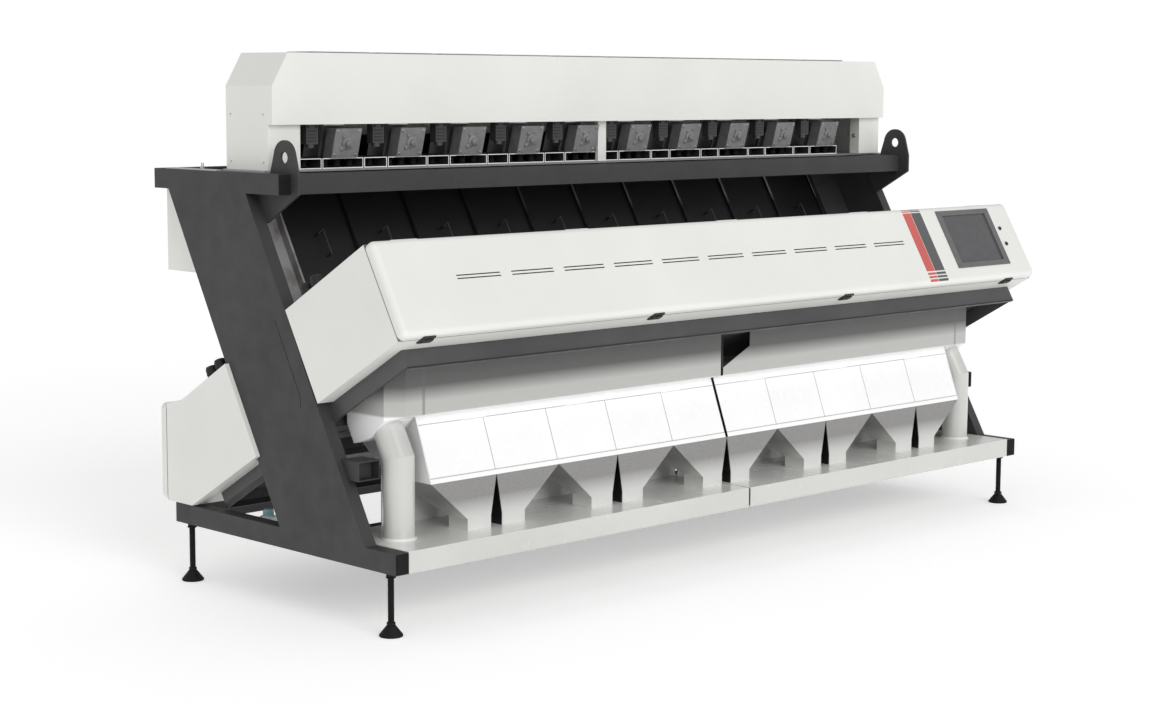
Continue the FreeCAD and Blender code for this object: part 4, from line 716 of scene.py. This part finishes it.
def gland(mesh, place, radius, length):
    """A ribbed hose gland with a collar."""
    hose, rib, collar = radius * 1.02, radius * 1.1, radius * 1.18
    profile = [(0, 0), (collar, 0), (collar, 6), (hose, 8)]
    height = 10.0
    while height < length - 9:
        profile += [(hose, height), (rib, height + 1), (rib, height + 3.4), (hose, height + 4.4)]
        height += 6
    profile += [(hose, length - 5), (radius * 0.95, length + 1), (radius * 0.62, length + 1),
                (radius * 0.58, length - 8), (0, length - 8)]
    lathe(mesh, profile, place, 36)


def glands():
    """Hose glands on top of both optical boxes."""
    mesh, rings = bmesh.new(), bmesh.new()
    box_end, inset = 1923.6, 44
    x = box_end - inset
    for side in (-1, 1):
        for across, along in ((-110, 380), (-176, 380), (540, 369.5), (606, 369.5)):
            place = at(TILTED, side * x, across, along)
            gland(mesh, place, 22, 50)
            lathe(rings, [(24.6, 20), (25.4, 20.6), (25.4, 24.4), (24.6, 25)], place, 36)
    glands_piece = piece("hose_glands", mesh, BLACK)
    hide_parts("cable_glands")
    piece("hose_gland_rings", rings, BLACK)


glands()


def lid_latches():
    """Levers and screws on the latches under the front lid."""
    first, pitch = -1797, 1175
    for number in range(4):
        middle = first + pitch * number
        mesh = bmesh.new()
        plate(mesh, at(TILTED, middle, -538.5, -7, **DOWN), (50, 26, 4), 5, bevel=1)
        plate(mesh, at(TILTED, middle, -549, -10.5, **DOWN), (30, 12, 3.2), 3, bevel=0.8)
        for dx in (-19, 19):
            screw(mesh, at(TILTED, middle + dx, -524, -7, **DOWN), 2.6, 3.4)
        piece(f"latch_lever_{number + 1}", mesh, BLACK, f"latch_{number + 1}", 30)


lid_latches()


def rear_latches():
    """Latches on the rear lid."""
    first, pitch = -1650, 1100
    mesh = bmesh.new()
    for number in range(4):
        middle = first + pitch * number
        plate(mesh, at(UPRIGHT, middle, 1455, 620, **REAR), (46, 60, 3.5), 6, bevel=1)
        plate(mesh, at(UPRIGHT, middle, 1458.5, 612, **REAR), (22, 40, 5), 5, bevel=1.5)
    piece("rear_cover_latches", mesh, BLACK, "rear_cover", 30)


rear_latches()


def frame_bolts():
    """Bolts through the lifting plates, and a plate with a stud on each top beam."""
    lug_face, lug_bolt_depth, stud_depth, plate_top = 1841, 720, 1192, 1646
    mesh = bmesh.new()
    for side in (-1, 1):
        inward = RIGHT if side < 0 else LEFT
        for height in (1580, 1626):
            nut(mesh, at(UPRIGHT, side * lug_face, lug_bolt_depth, height, **inward), 17, 9)
        stud = at(UPRIGHT, side * TOP_BEAM, stud_depth, plate_top)
        lathe(mesh, [(0, 0), (13, 0), (13, 2), (5.4, 2), (5.4, 22), (4.4, 24), (0, 24)], stud, 18)
        nut(mesh, at(UPRIGHT, side * TOP_BEAM, stud_depth, plate_top + 2), 17, 8, 5.4)
    piece("top_frame_bolts", mesh, ZINC, smooth=30)
    mesh = bmesh.new()
    for side in (-1, 1):
        plate(mesh, at(UPRIGHT, side * TOP_BEAM, 1245, plate_top - 4), (46, 330, 4), 3, bevel=0.8)
    piece("top_beam_plates", mesh, ALUMINIUM, smooth=30)


frame_bolts()


def end_caps():
    """Black plugs on the front ends of the base beams and the top beams."""
    mesh = bmesh.new()
    for side in (-1, 1):
        for x, depth, height, width in ((BASE_BEAM, 0, 273, 59), (TOP_BEAM, 667, 1603, 52)):
            plate(mesh, at(UPRIGHT, side * x, depth, height, **FRONT), (width, 76, 2.4), 4, bevel=0.8)
    piece("frame_end_caps", mesh, RUBBER, smooth=30)


end_caps()


def hood_screws():
    """Screws on the hood's ends, and a larger one inside each end of its window."""
    hood_end, window_end = 1846, 1695
    mesh = bmesh.new()
    for side in (-1, 1):
        outward, inward = (LEFT, RIGHT) if side < 0 else (RIGHT, LEFT)
        for height in (1680, 1860):
            for depth in (838, 1046):
                screw(mesh, at(UPRIGHT, side * hood_end, depth, height, **outward), 2.6, 2.2)
        screw(mesh, at(UPRIGHT, side * window_end, 840, 1735, **inward), 7, 6)
    piece("hood_screws", mesh, ZINC, smooth=30)


hood_screws()


def ribs(mesh, count, centre, radius, size):
    """Upright ribs round a cylinder."""
    x, depth, height = centre
    for step in range(count):
        angle = 2 * math.pi * step / count
        facing = (math.cos(angle), math.sin(angle), 0)
        plate(mesh, at(UPRIGHT, x + radius * facing[0], depth + radius * facing[1], height, facing,
                       (0, 0, 1)), size, 1)


def filter_unit():
    """The air filter: a ribbed bowl, its head and a ribbed knob."""
    x, depth = -1800, 900
    base = at(UPRIGHT, x, depth, 0)
    mesh = bmesh.new()
    lathe(mesh, [(0, 246), (14, 246), (22, 252), (24, 262), (24, 288), (0, 288)], base, 32)
    ribs(mesh, 12, (x, depth, 274), 23.6, (4, 24, 1.6))
    bowl = piece("filter_bowl", mesh, MILKY)
    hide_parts("air_filter")
    mesh = bmesh.new()
    plate(mesh, at(UPRIGHT, x, depth, 288), (48, 48, 24), 8, bevel=2)
    plate(mesh, at(UPRIGHT, x - 44, depth, 300, **RIGHT), (24, 22, 22), 2)
    lathe(mesh, [(0, 0), (10, 0), (10, 14), (12, 14), (12, 26), (7, 28), (0, 28)],
          at(UPRIGHT, x, depth - 24, 300, **FRONT), 24)
    piece("filter_head", mesh, MILKY, smooth=30)
    mesh = bmesh.new()
    lathe(mesh, [(0, 312), (20, 312), (20.6, 315), (20.6, 332), (18, 337), (0, 338)], base, 36)
    ribs(mesh, 18, (x, depth, 324), 20.2, (3, 16, 1.4))
    piece("filter_knob", mesh, TEAL)


filter_unit()


# Camera, floor and light

def camera():
    """The photograph's camera, solved from its straight edges."""
    place = (-6.8064, -6.657911, 1.9819)
    yaw, pitch, roll = (math.radians(a) for a in (44.5151, -7.0278, 0.2711))
    forward = Vector((math.sin(yaw) * math.cos(pitch), math.cos(yaw) * math.cos(pitch),
                      math.sin(pitch)))
    level = Vector((math.cos(yaw), -math.sin(yaw), 0))
    upward = level.cross(forward)
    right = math.cos(roll) * level + math.sin(roll) * upward
    upward = -math.sin(roll) * level + math.cos(roll) * upward
    data = bpy.data.cameras.new("camera")
    data.lens = 67.425
    data.sensor_width = 36
    data.clip_start = 0.1
    data.clip_end = 200
    view = bpy.data.objects.new("camera", data)
    view.matrix_world = (Matrix.Translation(place)
                         @ Matrix((right, upward, -forward)).transposed().to_4x4())
    bpy.context.scene.collection.objects.link(view)
    bpy.context.scene.camera = view


def floor():
    """A wide pale floor."""
    mesh = bmesh.new()
    bmesh.ops.create_circle(mesh, cap_ends=True, segments=96, radius=60)
    data = bpy.data.meshes.new("floor")
    mesh.to_mesh(data)
    mesh.free()
    ground = bpy.data.objects.new("floor", data)
    bpy.context.scene.collection.objects.link(ground)
    material, tree, bsdf = shader("pale_floor")
    tree.links.new(blend_colours(tree, noise(tree, 0.4, 2.0), (0.9, 0.9, 0.9), (0.92, 0.92, 0.92)),
                   bsdf.inputs["Base Color"])
    bsdf.inputs["Roughness"].default_value = 0.9
    bsdf.inputs["Emission Color"].default_value = (1, 1, 1, 1)
    bsdf.inputs["Emission Strength"].default_value = 0.35
    data.materials.append(material)


def sun(name, towards, strength, softness):
    """A sun lamp that shines towards a direction, with its softness in degrees."""
    data = bpy.data.lights.new(name, "SUN")
    data.energy = strength
    data.angle = math.radians(softness)
    lamp = bpy.data.objects.new(name, data)
    lamp.rotation_mode = "QUATERNION"
    lamp.rotation_quaternion = Vector(towards).to_track_quat("-Z", "Y")
    bpy.context.scene.collection.objects.link(lamp)


def world():
    """Soft light from all round, with a pure white background."""
    surroundings = bpy.data.worlds.new("studio")
    surroundings.use_nodes = True
    bpy.context.scene.world = surroundings
    tree = surroundings.node_tree
    tree.nodes.clear()
    seen = add(tree, "Background")
    seen.inputs["Color"].default_value = (1, 1, 1, 1)
    seen.inputs["Strength"].default_value = 1.0
    lit = add(tree, "Background")
    lit.inputs["Color"].default_value = (1, 1, 1, 1)
    lit.inputs["Strength"].default_value = 0.56
    path = add(tree, "LightPath")
    mix = add(tree, "MixShader")
    out = add(tree, "OutputWorld")
    tree.links.new(path.outputs["Is Camera Ray"], mix.inputs[0])
    tree.links.new(lit.outputs[0], mix.inputs[1])
    tree.links.new(seen.outputs[0], mix.inputs[2])
    tree.links.new(mix.outputs[0], out.inputs[0])


camera()
floor()
world()
sun("key", (0.15, 0.9, -0.4), 1.24, 35)
sun("side", (0.9, 0.35, -0.25), 0.26, 50)
bpy.context.scene.view_settings.view_transform = "Standard"
